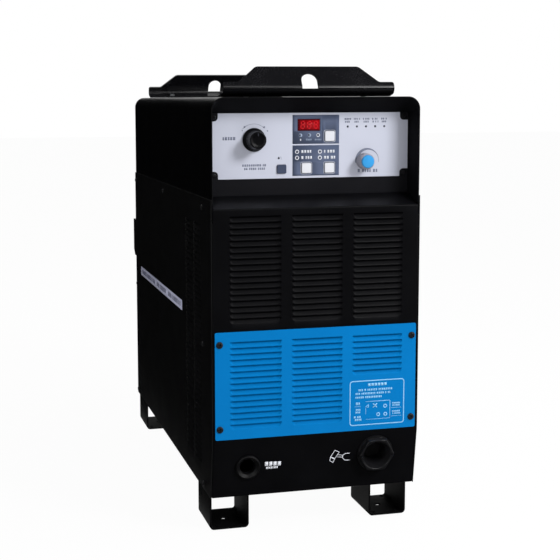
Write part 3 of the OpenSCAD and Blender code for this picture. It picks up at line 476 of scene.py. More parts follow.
# The side sheets take the same coat, painted a shade lighter as painted light: the lighter tone stands in for the light
# the sides catch from the pale floor. Their broad flats show it evenly.
powder_black_painted_lighter = surface("powder_coat_black_painted_lighter", "#131314", 0.44, "#171719", spec=0.25, **peel)
# The funnel round the controls is the same coat, sprayed dry, so it is duller.
powder_funnel = surface("powder_coat_funnel", "#0a0a0d", 0.8, "#0d0d11", grain=1.4, bump=0.01, spec=0.1)
# Bright blue powder coat: strong colour, satin gloss.
powder_blue = surface("powder_coat_blue", "#0077bf", 0.42, "#0073b9", grain=1.4, bump=0.01, spec=0.05)
# The rails: a thick black coat with a clear gloss. The feet: the same colour, worn dull.
clear = {"Coat Weight": 0.7, "Coat Roughness": 0.2}
coat_rail = surface("powder_coat_rails", "#08080b", 0.24, "#0b0b0f", grain=1.6, bump=0.004, spec=0.9, **clear)
coat_foot = surface("powder_coat_feet", "#080809", 0.7, "#0b0b0c", grain=1.6, bump=0.02, spec=0.08)
# Blackened steel plate of the recess, matt.
recess_black = surface("recess_plate_black", "#151519", 0.6, "#19191d", grain=1.2, bump=0.01, spec=0.15)
# Overlay: pale grey-lavender.
overlay = film("overlay_polycarbonate", "#cacedd", "#ced1e0", 0.35)
# Slate-coloured printed blocks of the same film.
slate_print = film("overlay_slate_print", "#57617a", "#5a647e", 0.3)
# Screen-print inks: white, slate and pale slate on the overlay, grey on the knob. All thin, even and matt.
white_ink = ink("screen_ink_white", "#e9ebf2", 0.55, "#e2e5ee")
dark_ink = ink("screen_ink_slate", "#7b8194", 0.55, "#858b9e")
pale_ink = ink("screen_ink_pale_slate", "#8f9db4", 0.5, "#98a5bb")
pointer_ink = ink("knob_ink_grey", "#3c3e48", 0.5, "#44464f", mottle=10)
# Pale blue ink of the cover's label, and the silver band on the side with its darker marks.
label_ink = ink("screen_ink_pale_blue", "#9fd2f5", 0.5, "#8fc8f0")
silver_band = surface("foil_band_silver", "#d2d5ef", 0.4, "#c8cbe6", mottle=40, grain=0.6, bump=0.003, spec=0.3)
band_ink = ink("foil_band_ink", "#5b5d78", 0.5, "#62647f", mottle=20)
# Moulded ABS keys: white, soft gloss; the small one slate.
moulded = {"mottle": 20, "grain": 0.5, "bump": 0.004, "spec": 0.4}
key_white = surface("abs_white", "#e4e5ec", 0.36, "#e6e8ee", **moulded)
key_slate = surface("abs_slate", "#434c63", 0.4, "#475069", **moulded)
# Phenolic knob: black, fairly glossy, with fine moulding grain.
phenolic = surface("phenolic_black", "#0a0a0c", 0.3, "#0e0e11", mottle=12, grain=0.6, bump=0.006, spec=0.32)
# Acetal pressure knob: ivory, darkened to a grey-lavender as painted shade for the shade it sits in, waxy gloss; its
# cap a bright blue.
waxy = {"Subsurface Weight": 0.08, "Subsurface Radius": (0.002, 0.0015, 0.001)}
turned_bar = {"mottle": 10, "grain": 0.6, "spec": 0.4}
acetal_ivory_painted_shade = surface("acetal_ivory_painted_shade", "#a9a8b2", 0.38, "#a09fab", bump=0.006, **turned_bar, **waxy)
acetal_blue = surface("acetal_blue", "#3a9fe2", 0.34, "#3398da", bump=0.005, **turned_bar)
# Display: dark red acrylic filter, the lit field behind it, and the brighter segments.
filter_red = surface("acrylic_red_filter", "#4a0a12", 0.22, "#560c14", mottle=15, spec=0.3)
glow_red = surface("display_backing_red", "#a00812", 0.3, "#8c0710", mottle=12, spec=0.3, **lit("#b00a14"))
segment_on = surface("segment_lit", "#d0202a", 0.3, "#c81c26", mottle=5, grain=0.5, spec=0.3, **lit("#e02a30"))
# Epoxy lamp lenses, unlit: smoky grey, clear gloss.
glazed = {"Coat Weight": 0.5}
lens_grey = surface("epoxy_lens", "#4b4f5a", 0.2, "#3f434e", mottle=3, grain=0.5, **glazed)
# Zinc-plated steel: cool bright grey with blurred reflections and faint stains.
metal = {"bump": 0.01, "Metallic": 1.0}
zinc = surface("zinc_plate", "#b9bcc0", 0.34, "#a6a9ac", mottle=9, grain=0.8, **metal)
# Black-oxide screws: dark, slightly oily metal.
oxide = surface("black_oxide_steel", "#1b1b1d", 0.36, "#242427", mottle=4, grain=0.5, bump=0.006, spec=0.45)
# Glass-filled nylon gland and rubber grommet.
nylon = surface("nylon_black", "#121214", 0.36, "#17171a", mottle=14, grain=0.9, bump=0.015, spec=0.6)
rubber = surface("rubber_black", "#0c0c0d", 0.42, "#101012", mottle=14, grain=0.7, bump=0.012, spec=0.45)
# Inner works.
fan_plastic = surface("pbt_black", "#151518", 0.45, "#1a1a1e", mottle=20, bump=0.01)
guard_steel = surface("guard_wire_black", "#1a1a1c", 0.38, "#202023", mottle=20, bump=0.01)
breaker_grey = surface("breaker_moulding", "#2a2b30", 0.45, "#2e2f35", mottle=20, grain=0.8, bump=0.01)
brass = surface("brass_turned", "#b5924c", 0.3, "#a98645", mottle=8, grain=0.6, **metal)
hose_blue = surface("polyurethane_blue", "#2d5db8", 0.3, "#2a56aa", mottle=18, grain=0.8, bump=0.004)
board_green = surface("solder_mask_green", "#1d5f36", 0.3, "#1a5630", mottle=18, grain=0.7, bump=0.02)
laminate = surface("lamination_steel", "#66686c", 0.45, "#5b5d61", mottle=12, grain=0.6, bump=0.02, Metallic=1.0)
copper = surface("enamelled_winding", "#9d5a2c", 0.34, "#8d4f26", mottle=10, grain=1.4, bump=0.12, **glazed)
aluminium = surface("extruded_aluminium", "#b4b7bb", 0.36, "#a9acb0", mottle=12, grain=0.7, **metal)
module_black = surface("epoxy_module_black", "#1d1e22", 0.5, "#232429", mottle=12, grain=0.7, bump=0.02)
sleeve_blue = surface("pvc_sleeve", "#1f2d4c", 0.28, "#1b2743", mottle=14, grain=0.9, bump=0.006)
terminal = surface("melamine_terminal", "#c9c6bd", 0.4, "#c0bcb1", mottle=12, grain=0.7, bump=0.01)


# ---------- folded sheets ----------

# Depth of the flanges at the sides of the front sheets.
FLANGE = 74.0


def bent_sheet(path, a_lines, b_lines, fields, drop, clip=None):
    """A louvred strip folded along b in the (y, z) plane, its sides folded back as flanges: past the front's width, a
    runs round a bend and back along y. Above b = clip[0] it is no wider than clip[1] to each side. drop(a, b, on a
    flange) says which cells are left out. Returns the grid and the mask of kept cells."""
    turn = [(-HOOD_OUT, FLANGE), (-HOOD_OUT, 0), (HOOD_OUT, 0), (HOOD_OUT, FLANGE)]
    turn = rounded_path(turn, (2.0, 2.0), 4)
    knots = distances(turn)
    knots -= knots[-1] / 2
    a, b, depth, keep = louvred(merged(knots, a_lines), b_lines, fields)
    point, normal = along(path, b)
    where = np.stack([np.interp(a, knots, turn[:, i]) for i in (0, 1)], -1)
    x = where[..., 0]
    if clip:
        x = np.where(b > clip[0], np.clip(x, -clip[1], clip[1]), x)
    y = where[..., 1] + point[..., 0] + depth * np.abs(normal[..., 0])
    grid = np.stack([x, y, point[..., 1]], -1)
    ac, bc = (a[:-1, :-1] + a[1:, 1:]) / 2, (b[:-1, :-1] + b[1:, 1:]) / 2
    return grid, keep & ~drop(ac, bc, np.abs(ac) > knots[-1] - FLANGE + 0.01)


# Front panel from the seam up to the recess, with three columns of louvres and a cut-out behind the cover.
SEAM, CUT_X, CUT_TOP, FLANGE_TOP, LOWEST_SLOT = 175.8, 149.8, 327.5, 513.0, 358.5
front_path = rounded_path([(0, SEAM), (0, BROW_Z), (39.0, 550.7)], (3.0,), 5)
upper = [LOWEST_SLOT + PITCH * i - SEAM for i in range(18)]
cols = [(c - LOUVRE_W / 2, c + LOUVRE_W / 2, upper) for c in (-STEP, 0, STEP)]


def front_cut(a, b, flange):
    """The cut-out behind the cover, and the flanges beside the recess."""
    return ((np.abs(a) < CUT_X) & (b < CUT_TOP - SEAM)) | (flange & (b > FLANGE_TOP - SEAM))


b_lines = merged(distances(front_path), [CUT_TOP - SEAM, 340 - SEAM, FLANGE_TOP - SEAM])
narrow = (BROW_Z - SEAM - 1.5, 171.4)
grid, keep = bent_sheet(front_path, [-CUT_X, CUT_X], b_lines, cols, front_cut, narrow)
plate("front_panel_sheet", [(grid, keep, False)], (0, -1, 0), 0.25, powder_black, "front_panel")

# Sloping lower front with its two cable holes.
chin_path = rounded_path([(34, FLOOR_Z), (LEAN_Y, FLOOR_Z), (0, CHIN_Z), (0, 175.5)], (3.0, 8.0), 5)
chin_knots = distances(chin_path)


def chin_b(z):
    """Distance along the lower front's path at height z of its sloping part."""
    return float(np.interp(z, chin_path[:, 1][6:12], chin_knots[6:12]))


# Each hole is (a, b, radius, a of the field's two ends); the fields share one band of b.
band = (chin_b(84.0), chin_b(148.0))
holes = [(102.6, chin_b(121.0), 22.3, (72.0, 133.2)), (-115.0, chin_b(113.0), 15.8, (-141.0, -89.0))]
b_lines = merged(chin_knots, steps(*band, 8))
a_lines = merged(*[steps(h[3][0], h[3][1], 8) for h in holes])


def chin_cut(a, b, flange):
    """The fields round the holes, which are filled by rings below, and the flanges of the foot fold."""
    inside = np.zeros(a.shape, bool)
    for h in holes:
        inside |= (a > h[3][0]) & (a < h[3][1]) & (b > band[0]) & (b < band[1])
    return inside | (flange & (b < chin_knots[1] + 8))


grid, keep = bent_sheet(chin_path, a_lines, b_lines, [], chin_cut)
patches = [(grid, keep, False)]
for ha, hb, hr, (a0, a1) in holes:
    ta, tb = steps(a0, a1, 8), steps(*band, 8)
    edge_a = np.concatenate([ta[:-1], np.full(8, a1), ta[:0:-1], np.full(8, a0)])
    edge_b = np.concatenate([np.full(8, band[0]), tb[:-1], np.full(8, band[1]), tb[:0:-1]])
    edge = np.stack([edge_a, edge_b], 1)
    ang = np.arctan2(edge[:, 1] - hb, edge[:, 0] - ha)
    rim = np.stack([ha + hr * np.cos(ang), hb + hr * np.sin(ang)], 1)
    rows = np.stack([rim, (rim + edge) / 2, edge])
    point, _ = along(chin_path, rows[..., 1])
    patches.append((np.stack([rows[..., 0], point[..., 0], point[..., 1]], -1), None, True))
plate("chin_panel_sheet", patches, (0, -1, 0), 0.25, powder_black, "chin_panel")

# Blue cover plate.
COVER_X, COVER_LOW, COVER_HIGH, COVER_R = 170.0, 162.5, 337.5, 2.5
tops = [187.0 + PITCH * i for i in range(15)]
fields = [(c - LOUVRE_W / 2, c + LOUVRE_W / 2, t) for c, t in ((-STEP, tops), (0, tops), (STEP, tops[8:]))]
corner = COVER_R * (1 - np.cos(steps(0, math.pi / 2, 4)))
a_lines = merged(-COVER_X + corner, COVER_X - corner)
b_lines = merged(COVER_LOW + corner, COVER_HIGH - corner, [178.0])
a, b, depth, keep = louvred(a_lines, b_lines, fields)


def soften(a, b):
    """Pulls the cover's corner squares in to quarter circles: the offset (u, v) from the corner's centre is scaled by
    max(u, v) / |(u, v)|."""
    mid, half = (COVER_LOW + COVER_HIGH) / 2, (COVER_HIGH - COVER_LOW) / 2
    u = np.maximum(np.abs(a) - (COVER_X - COVER_R), 0)
    v = np.maximum(np.abs(b - mid) - (half - COVER_R), 0)
    k = np.where((u > 0) & (v > 0), np.maximum(u, v) / np.maximum(np.hypot(u, v), 1e-9), 1.0)
    return a - np.sign(a) * u * (1 - k), b - np.sign(b - mid) * v * (1 - k)


a, b = soften(a, b)
grid = np.stack([a, COVER_Y + depth, b], -1)
cover = [(grid, keep, False)]
plate("access_cover_sheet", cover, (0, -1, 0), 0.3, powder_blue, "access_cover")

# Side panels with two columns of louvres.
tops = [108.5 + PITCH * i for i in range(42)]
heights = np.array([FLOOR_Z, 70, 85, 530, 548])
for name, s in (("side_left", -1), ("side_right", 1)):
    a, b, depth, keep = louvred(np.array([0, 30, 240, 480, DEEP]), heights, [(78, 136, tops), (144, 202, tops)])
    lead = np.clip((CHIN_Z - b) * LEAN, 0, LEAN_Y)
    a = np.where(a < 30, lead + a * (30 - lead) / 30, a)
    grid = np.stack([s * (W_OUT - depth), a, b], -1)
    plate(name + "_sheet", [(grid, keep, False)], (s, 0, 0), 0.3, powder_black_painted_lighter, name)

# Hood: an arch swept from front to rear, with its lower flanges behind the side panels.
arch = rounded_path([(-HOOD_OUT, 515), (-HOOD_OUT, HOOD_Z), (HOOD_OUT, HOOD_Z), (HOOD_OUT, 515)], (20.0, 20.0), 10)
arch = np.insert(arch, [1, len(arch) - 1], [[-HOOD_OUT, 540], [HOOD_OUT, 540]], axis=0)
ys = np.array([0, 30, 240, 480, 701.5, DEEP])[:, None]
grid = np.stack(np.broadcast_arrays(arch[:, 0], ys, arch[:, 1]), -1)
keep = np.ones((len(ys) - 1, len(arch) - 1), bool)
keep[[0, 4], 0] = keep[[0, 4], -1] = False
plate("hood_shell", [(grid, keep, False)], (0, 0, 1), 0.55, powder_black, "hood")

# Funnel between the hood's rim and the recess plate: its rim follows the hood, its back the plate.
rim = rounded_path([(-171.4, 533.9), (-171.4, 706.2), (171.4, 706.2), (171.4, 533.9)], (18.2, 18.2), 10)
back = rounded_path([(-168.3, 551.7), (-168.3, 683.0), (168.3, 683.0), (168.3, 551.7)], (5.0, 5.0), 10)
t = np.array([0, 0.03, 0.35, 0.7, 1.0])[:, None, None]
plane = rim * (1 - t) + back * t
depth = np.broadcast_to(0.3 + 39.4 * t[..., 0], plane.shape[:2])
grid = np.stack([plane[..., 0], depth, plane[..., 1]], -1)
plate("recess_funnel", [(grid, None, False)], (0, -1, 0), 0.2, powder_funnel, "recess_frame", thick=1.2)

# ---------- printed overlay ----------

eased("recess_plate", recess_black, 0.0)
eased("fascia", overlay, 0.15)


def round_key(x, z, half):
    """The outline of a key's hole."""
    return outline(half, half, 2.3, 4) + np.array([x, z])


def holed(hole, box):
    """A print round a hole: the ring between the hole's outline and a rectangle."""
    return (flat_xz(np.stack([hole, on_box(hole, *box)]), FASCIA_Y), None, True)


screen = outline(19.0, 9.6, 0.3, 2) + np.array([-3.0, 662.9])
SLATE_X = (-30.4, 48.6)
slate = [
    holed(screen, (SLATE_X[0], 20.0, 652.5, 679.0)),
    holed(round_key(32.4, 644.7, 8.3), (20.0, SLATE_X[1], 632.4, 679.0)),
    patch(SLATE_X[0], 20.0, 632.4, 652.5, FASCIA_Y),
    patch(*SLATE_X, 604.0, 630.2, FASCIA_Y),
    holed(round_key(-7.1, 593.4, 8.3), (SLATE_X[0], 12.0, 581.0, 604.0)),
    holed(round_key(31.9, 593.4, 8.3), (12.0, SLATE_X[1], 581.0, 604.0)),
]
printed("fascia_blocks", slate, slate_print, "fascia")


def arc_points(cx, cz, r, a0, a1, n):
    """Points on an arc, its ends in degrees."""
    t = np.radians(steps(a0, a1, n))
    return np.stack([cx + r * np.cos(t), cz + r * np.sin(t)], 1)


# Current scale: an arc and four dots round the knob, and a slash to its right.
KNOB, KNOB_Z = -94.8, 640.0
marks = [stroke(arc_points(KNOB, KNOB_Z, 25.4, 46, 136, 16), 0.55, FASCIA_Y)]
for x, z, r in ((-110.1, 660.7, 1.5), (-77.5, 660.1, 1.5), (-113.7, 654.9, 0.9), (-72.1, 654.2, 1.1)):
    marks.append(disc(x, z, r, FASCIA_Y))
marks.append(stroke([(-50.2, 612.6), (-48.4, 607.8)], 0.5, FASCIA_Y))
# Pressure scale: an arc under a circle of radius 20.5, whose width swells as 0.5 + 4.2 sin((t + 0.15) / 1.9)^2.
t = np.radians(steps(190, -8, 24))
thin = 0.5 + 4.2 * np.clip(np.sin((t + 0.15) / 1.9), 0, 1) ** 2
inner, ring = (np.stack([97 + r * np.cos(t), 604 + r * np.sin(t)], 1) for r in (20.5 - thin, 20.5))
marks.append((flat_xz(np.stack([inner, ring]), FASCIA_Y), None, False))
marks += bars(-146, -124, 645, 5, FASCIA_Y, 3)
marks += bars(-114, -74, 601, 9, FASCIA_Y, 4, 2, 2.0)
marks += bars(81, 115, 590, 5, FASCIA_Y, 5)
for i in range(5):
    marks += bars(58 + 15.75 * i, 69 + 15.75 * i, 673.5, 7.6, FASCIA_Y, 10 + i, 2, 1.6)
printed("fascia_marks", marks, dark_ink, "fascia")

inks = []
for x, z in ((-22.7, 619.9), (-22.7, 610.1), (16, 619.7), (16, 609.9)):
    inks.append(disc(x, z, 3.4, INK_Y, inner=2.1))
    inks += bars(x + 7, x + 26, z + 2.6, 4.6, INK_Y, int(x * 3 + z))
inks.append(disc(12.9, 646.4, 3.0, INK_Y, inner=1.9))
inks.append(stroke([(-16.8, 640.6), (-16.8, 637.4)], 2.0, INK_Y))
for spot in ((-7.1, 593.4), (31.9, 593.4), (32.4, 644.7)):
    inks.append(stroke(outline(9.6, 9.6, 2.8, 4) + np.array(spot), 0.5, INK_Y, True))
printed("fascia_white_marks", inks, white_ink, "fascia")
faint = [disc(-17.0, 646.4, 3.1, INK_Y), disc(-2.0, 646.2, 3.0, INK_Y)]
faint += bars(-7.6, 2.6, 640.6, 2.8, INK_Y, 71) + bars(7.2, 18.2, 640.4, 2.6, INK_Y, 72)
printed("fascia_pale_marks", faint, pale_ink, "fascia")

# Display: red filter whose lit window holds three digits, each of seven bars (x0, z0, x1, z1).
eased("display", filter_red, 0.2)
printed("display_window", [patch(-18.4, 15.2, 655.6, 670.6, FASCIA_Y - 0.36)], glow_red, "display")
SEGMENTS = ((0, 2, 1, 2), (1, 1, 1, 2), (1, 0, 1, 1), (0, 0, 1, 0), (0, 0, 0, 1), (0, 1, 0, 2), (0, 1, 1, 1))
digits = []
for k in range(3):
    ox, oz, w, h = -16.6 + 11.0 * k, 657.6, 5.8, 5.6
    for x0, z0, x1, z1 in SEGMENTS:
        p, q = np.array([(ox + x0 * w + 0.08 * h * z0, oz + z0 * h), (ox + x1 * w + 0.08 * h * z1, oz + z1 * h)])
        d = (q - p) / np.linalg.norm(q - p)
        digits.append(stroke([p + d * 0.7, q - d * 0.7], 1.5, FASCIA_Y - 0.4))
printed("display_digits", digits, segment_on, "display")

# Lamp lenses: low domes in the overlay.
spots = [(63.4 + 15.75 * i, 659.7) for i in range(5)] + [(-17.9 + 15 * i, 646.7) for i in range(3)]
spots += [(-22.7, 619.9), (-22.7, 610.1), (16, 619.7), (16, 609.9), (-53.4, 610.1)]
dome = [(1.5, -6.0), (1.5, 0.0), (1.38, 0.35), (1.1, 0.62), (0.6, 0.8), (1e-4, 0.85)]
lenses = [turned(dome, 16, (x, FASCIA_Y, z)) for x, z in spots]
lenses += [turned([(1e-4, -6.0), (1.5, -6.0)], 16, (x, FASCIA_Y, z)) for x, z in spots]
fit(sew("lamp_lenses", lenses), lens_grey, replaces=("leds",))

for key in ("key_mode", "key_gas", "key_set"):
    eased(key, key_white, 0.7)
eased("key_test", key_slate, 0.7)


def grip(ang, d):
    """Flutes of the current knob: 20 shallow hollows along its body only."""
    on = np.clip((d - 7.0) / 1.5, 0, 1) * np.clip((26.2 - d) / 1.2, 0, 1)
    return 1 - 0.045 * on * (0.5 + 0.5 * np.cos(20 * ang)) ** 1.5


profile = [(1e-4, 0), (5.8, 0), (18.2, 0), (18.8, 0.3), (19.0, 0.9), (19.0, 2.2), (18.5, 2.9), (15.0, 5.4)]
profile += [(14.6, 6.2), (14.4, 8.4), (14.2, 14.0), (14.0, 20.0), (13.9, 25.0), (13.75, 26.2), (13.3, 27.3)]
profile += [(12.5, 27.9), (11.6, 28.0), (10.9, 27.7), (10.2, 27.0), (5.0, 26.9), (1e-4, 26.9)]
knob_body = sew("current_knob_body", [turned(profile, 120, (KNOB, FASCIA_Y - 0.4, KNOB_Z), grip)], angle=50)
fit(knob_body, phenolic, replaces=("current_knob",))
line = stroke([(KNOB, KNOB_Z + 6.0), (KNOB, KNOB_Z + 11.6)], 0.9, FASCIA_Y - 28.3)
pointer = sew("current_knob_pointer", [line], out=(0, -1, 0))
fit(walls(pointer, 0.25), pointer_ink, body=BODY["current_knob"])

eased("regulator_knob", acetal_ivory_painted_shade, 0.3)
eased("regulator_cap", acetal_blue, 0.5)

# ---------- screws, rails, feet, connections ----------

corners = [(sx * 162.5, z) for sx in (-1, 1) for z in (180.0, 317.5)]
heads = [((x, COVER_Y, z), (0, -1, 0), 0.3 * i) for i, (x, z) in enumerate(corners)]
pan_heads("cover_screw_heads", heads, 5.5, 2.8, "cover_screws")
heads = [((sx * 160.1, 39.7, z), (0, -1, 0), 0.5 + sx + z) for sx in (-1, 1) for z in (583.8, 676.2)]
pan_heads("fascia_screw_heads", heads, 3.6, 2.2, "fascia_screws")
spots = [(y, z) for y in (66.0, 733.0) for z in (72.0, 307.0, 532.0)] + [(412.0, 532.0)]
heads = [((sx * 175.0, y, z), (sx, 0, 0), 0.2 + y + z) for sx in (-1, 1) for y, z in spots]
heads += [((sx * 96.0, 753.0, 225 + sz * 96.0), (0, 1, 0), 0.7 * sx) for sx in (-1, 1) for sz in (-1, 1)]
pan_heads("shell_screw_heads", heads, 4.2, 2.6, "shell_screws")

# Lifting rails: one sheet whose foot lies on the hood, rises to a rounded nose and leans back from it. Its outer face
# follows this path in (y, z). The rear rail is its mirror image, so y becomes RAIL_MIRROR - y.
RAIL_PATH = rounded_path([(77, 708.3), (60.5, 708.3), (34.6, 714.7), (58.0, 757.0)], (6.0, 10.0), 8)
RAIL_MIRROR, NOSE_START = 780.0, 11
rail_knots = distances(RAIL_PATH)


def rail_b(z):
    """Distance along the rail's path at height z on its nose or leaning part."""
    return float(np.interp(z, RAIL_PATH[NOSE_START:, 1], rail_knots[NOSE_START:]))


def rail_sheet(name, mirrored, node):
    """A rail in five columns: end, flank, handle notch, flank, end. At b above its circle's centre the notch's half
    width is sqrt(r^2 - (b - centre)^2). The ends stop at the shoulder, its corners quarter circles of radius ease."""
    half, r, ease = 144.0, 13.4, 3.5
    shoulder, top = rail_b(731.8), rail_knots[-1]
    flank = rounded_path([(160, shoulder), (118.6, shoulder), (87.0, top), (0, top)], (8.0, 12.0), 6)[1:-1]
    arch = rail_b(745.8)
    centre, low = arch - r, rail_b(721.3)
    turns = steps(0, math.pi / 2, 8)
    rounding = shoulder - ease + ease * np.sin(turns[::2])
    b = merged(rail_knots, flank[:, 1], rounding, [low, shoulder, (arch + top) / 2], centre + r * np.sin(turns))
    inner = np.where(b < shoulder + 1e-6, flank[0, 0], np.interp(b, flank[:, 1], flank[:, 0]))
    outer = half - (ease - np.sqrt(np.clip(ease**2 - np.clip(b - shoulder + ease, 0, ease) ** 2, 0, None)))
    notch = np.where(b > arch + 1e-6, 6.0, np.sqrt(np.clip(r**2 - np.clip(b - centre, 0, r) ** 2, 0, None)))
    lines = [-outer, -inner, -notch, notch, inner, outer]
    parts, zone = [], []
    for k, n in enumerate((3, 6, 4, 6, 3)):
        f = np.arange(n) / n
        parts.append(lines[k][:, None] * (1 - f) + lines[k + 1][:, None] * f)
        zone += [k] * n
    x = np.hstack([*parts, outer[:, None]])
    point, _ = along(RAIL_PATH, b)
    mid, zone = (b[1:, None] + b[:-1, None]) / 2, np.array(zone)
    keep = ~(((mid > shoulder) & ((zone == 0) | (zone == 4))) | ((mid > low) & (mid < arch) & (zone == 2)))
    y = np.broadcast_to(point[:, :1], x.shape)
    grid = np.stack([x, RAIL_MIRROR - y if mirrored else y, np.broadcast_to(point[:, 1:], x.shape)], -1)
    out = (0, 1 if mirrored else -1, 0)
    plate(name, [(grid, keep, False)], out, 0.6, coat_rail, node, thick=3.0, angle=40)


# In metres: the bolts behind BEHIND are moved BOLT_SHIFT forward from where the node has them, to the mirrored foot.
BEHIND, BOLT_SHIFT = 0.4, 0.023
rail_sheet("rail_front_sheet", False, "rail_front")
rail_sheet("rail_rear_sheet", True, "rail_rear")
for n in ("foot_front_left", "foot_front_right", "foot_rear_left", "foot_rear_right"):
    eased(n, coat_foot, 0.6)
bolts = eased("rail_bolts", zinc, 0.4)
for v in bolts.data.vertices:
    if (bolts.matrix_world @ v.co).y > FRONT + BEHIND:
        v.co.y -= BOLT_SHIFT


def on_slope(grid, x, z):
    """Places a form turned about -y at the origin on the sloping lower front: it is tipped by the slope's angle."""
    lean = math.atan(LEAN)
    gx, gy, gz = grid[..., 0], grid[..., 1], grid[..., 2]
    y = gy * math.cos(lean) - gz * math.sin(lean)
    up = gz * math.cos(lean) + gy * math.sin(lean)
    return np.stack([gx + x, y + (CHIN_Z - z) * LEAN, up + z], -1)


def gland_form(rows, angles):
    """Rows are (radius, share of hexagon, distance forward). A hexagon's radius at angle t is
    a / cos((t mod 60) - 30), a being half of its width across flats, here scaled so that the row's radius is its
    corner. A slot across the face goes down to slot_floor."""
    slot_floor = 9.4
    flat = math.cos(math.radians(30)) / np.cos(np.radians(np.mod(np.degrees(angles), 60) - 30))
    made = []
    for r, six, d in rows:
        k = r * (1 - six + six * flat)
        slot = (np.abs(k * np.sin(angles)) < 1.15) & (d > slot_floor)
        made.append(np.stack([k * np.cos(angles), np.where(slot, -slot_floor, -d), k * np.sin(angles)], -1))
    return np.stack(made)


near = np.radians([-4.2, -2.9, -2.75, -2.25, -2.1, 2.1, 2.25, 2.75, 2.9, 4.2])
turns = np.unique(np.round(np.mod(np.concatenate([np.radians(np.arange(0, 360, 5)), near, near + math.pi]), TAU), 5))
body = [(1e-3, 0, -24.2), (21.9, 0, -24.2), (21.9, 0, 0.02), (30.0, 0, 0.02), (30.9, 0, 0.5), (31.0, 0, 1.6)]
body += [(30.8, 0, 2.6), (30.4, 0.6, 3.0), (31.1, 1, 3.4), (31.2, 1, 6.5), (31.1, 1, 9.6), (30.2, 0.85, 11.3)]
body += [(29.0, 0.7, 11.9), (26.6, 0.3, 12.0), (24.6, 0, 11.9), (23.6, 0, 11.2), (22.8, 0, 9.6), (21.0, 0, 6.0)]
body += [(18.6, 0, 1.5), (18.0, 0, -1.0), (18.0, 0, -23.0), (1e-3, 0, -23.0)]
nut = [(22.2, 0, -2.0), (28.6, 1, -2.0), (29.0, 1, -2.4), (29.0, 1, -8.4), (28.6, 1, -8.8), (22.2, 0, -8.8)]
nut.append(nut[0])
gland = [(on_slope(gland_form(form, turns), 102.6, 121.0), None, True) for form in (body, nut)]
fit(sew("torch_gland_body", gland, angle=28), nylon, replaces=("torch_gland",))

# Grommet: a rounded outer rim that slopes in to the bore, and a smaller lip behind the sheet.
ring = [(12.5, -7.8), (18.2, -7.8), (18.6, -7.2), (18.6, -2.2), (18.2, -1.8), (15.5, -1.8), (15.5, 0.02), (20.3, 0.02)]
ring += [(20.6, 0.8), (20.5, 2.6), (20.0, 3.9), (19.2, 4.7), (18.3, 5.0), (17.5, 4.7), (16.8, 3.9), (15.4, 2.5)]
ring += [(13.8, 1.5), (12.9, 0.6), (12.5, -0.8), (12.5, -7.8)]
grid, _, _ = turned(ring, 64, (0, 0, 0))
grommet = sew("work_grommet_ring", [(on_slope(grid, -115.0, 113.0), None, True)], angle=40)
fit(grommet, rubber, replaces=("work_grommet",))
for node, width in (("rear_panel", 0.3), ("base_pan", 0.0), ("input_box", 0.5)):
    eased(node, powder_black_painted_lighter, width)
eased("fan_guard", guard_steel, 0.0)
eased("fan_frame", fan_plastic, 0.4)
eased("fan_rotor", fan_plastic, 0.0)
eased("breaker", breaker_grey, 0.4)
eased("breaker_toggle", breaker_grey, 0.3)
eased("air_inlet", brass, 0.3)

for finish, nodes in (
    (zinc, "foot_bolts pot_body saddle"),
    (aluminium, "regulator_body heat_sink"),
    (board_green, "control_board power_board"),
    (laminate, "transformer_core choke_core"),
    (copper, "transformer_coil choke_coil arc_coil"),
    (module_black, "power_modules"),
    (sleeve_blue, "capacitors"),
    (hose_blue, "air_line torch_hose"),
    (brass, "gas_valve torch_block work_terminal"),
    (terminal, "input_terminals"),
):
    for node in nodes.split():
        clothe(node, finish)

# ---------- prints on the cabinet ----------


def wordless(rows, y):
    """Rows of blocks from (x0, x1, top, height)."""
    return [p for x0, x1, z, h in rows for p in bars(x0, x1, z, h, y, int(x0 + z))]


# Cover label: a frame, three lines of blocks under a heading, and a small scheme of lines, rings and blocks.
label = [stroke(outline(46.8, 36.8, 4.5, 6) + np.array([103.1, 208.3]), 1.5, COVER_Y, True)]
label += [patch(87.3 + 5.6 * i, 91.6 + 5.6 * i, 236.2, 240.6, COVER_Y) for i in range(6)]
for x0, x1, z, h, seed in ((70.8, 129.4, 231.6, 3.4, 22), (65.6, 126.0, 225.5, 3.2, 23), (65.6, 112.7, 219.3, 3.2, 24)):
    label += bars(x0, x1, z, h, COVER_Y, seed)
for x0, z0, x1, z1, width in (
    (83.4, 210.2, 125.8, 210.2, 0.9),
    (125.8, 210.2, 125.8, 180.2, 0.9),
    (125.8, 180.2, 84.0, 180.2, 0.5),
    (83.6, 199.5, 83.6, 189.0, 0.6),
):
    label.append(stroke([(x0, z0), (x1, z1)], width, COVER_Y))
for x, z, r, hole in ((117.4, 201.2, 3.3, 1.9), (105.4, 187.6, 3.2, 1.8), (117.9, 187.4, 3.2, 1.8)):
    label.append(disc(x, z, r, COVER_Y, inner=hole))
label += [stroke([(96.2, z0), (103.2, z1)], 1.6, COVER_Y) for z0, z1 in ((206.4, 199.6), (199.6, 206.4))]
label.append(stroke([(83.2, 201.4), (88.4, 205.0), (88.4, 200.6)], 0.9, COVER_Y, True))
left = [(66.5, 74.5, 209.6, 4.2), (64.8, 75.9, 203.1, 0.9), (66.5, 74.2, 198.6, 3.0), (65.8, 74.7, 194.4, 3.0)]
left += [(63.2, 78.3, 186.6, 3.4), (65.0, 77.0, 182.0, 3.2)]
right = [(129.8, 144.2, 206.2, 2.6), (130.2, 144.0, 202.4, 2.4), (128.1, 146.1, 197.6, 0.8), (129.9, 144.9, 192.4, 2.6)]
right += [(130.4, 144.2, 188.6, 2.4), (128.3, 146.0, 183.6, 0.8)]
label += wordless(left + right, COVER_Y)
printed("cover_label", label, label_ink, "access_cover")


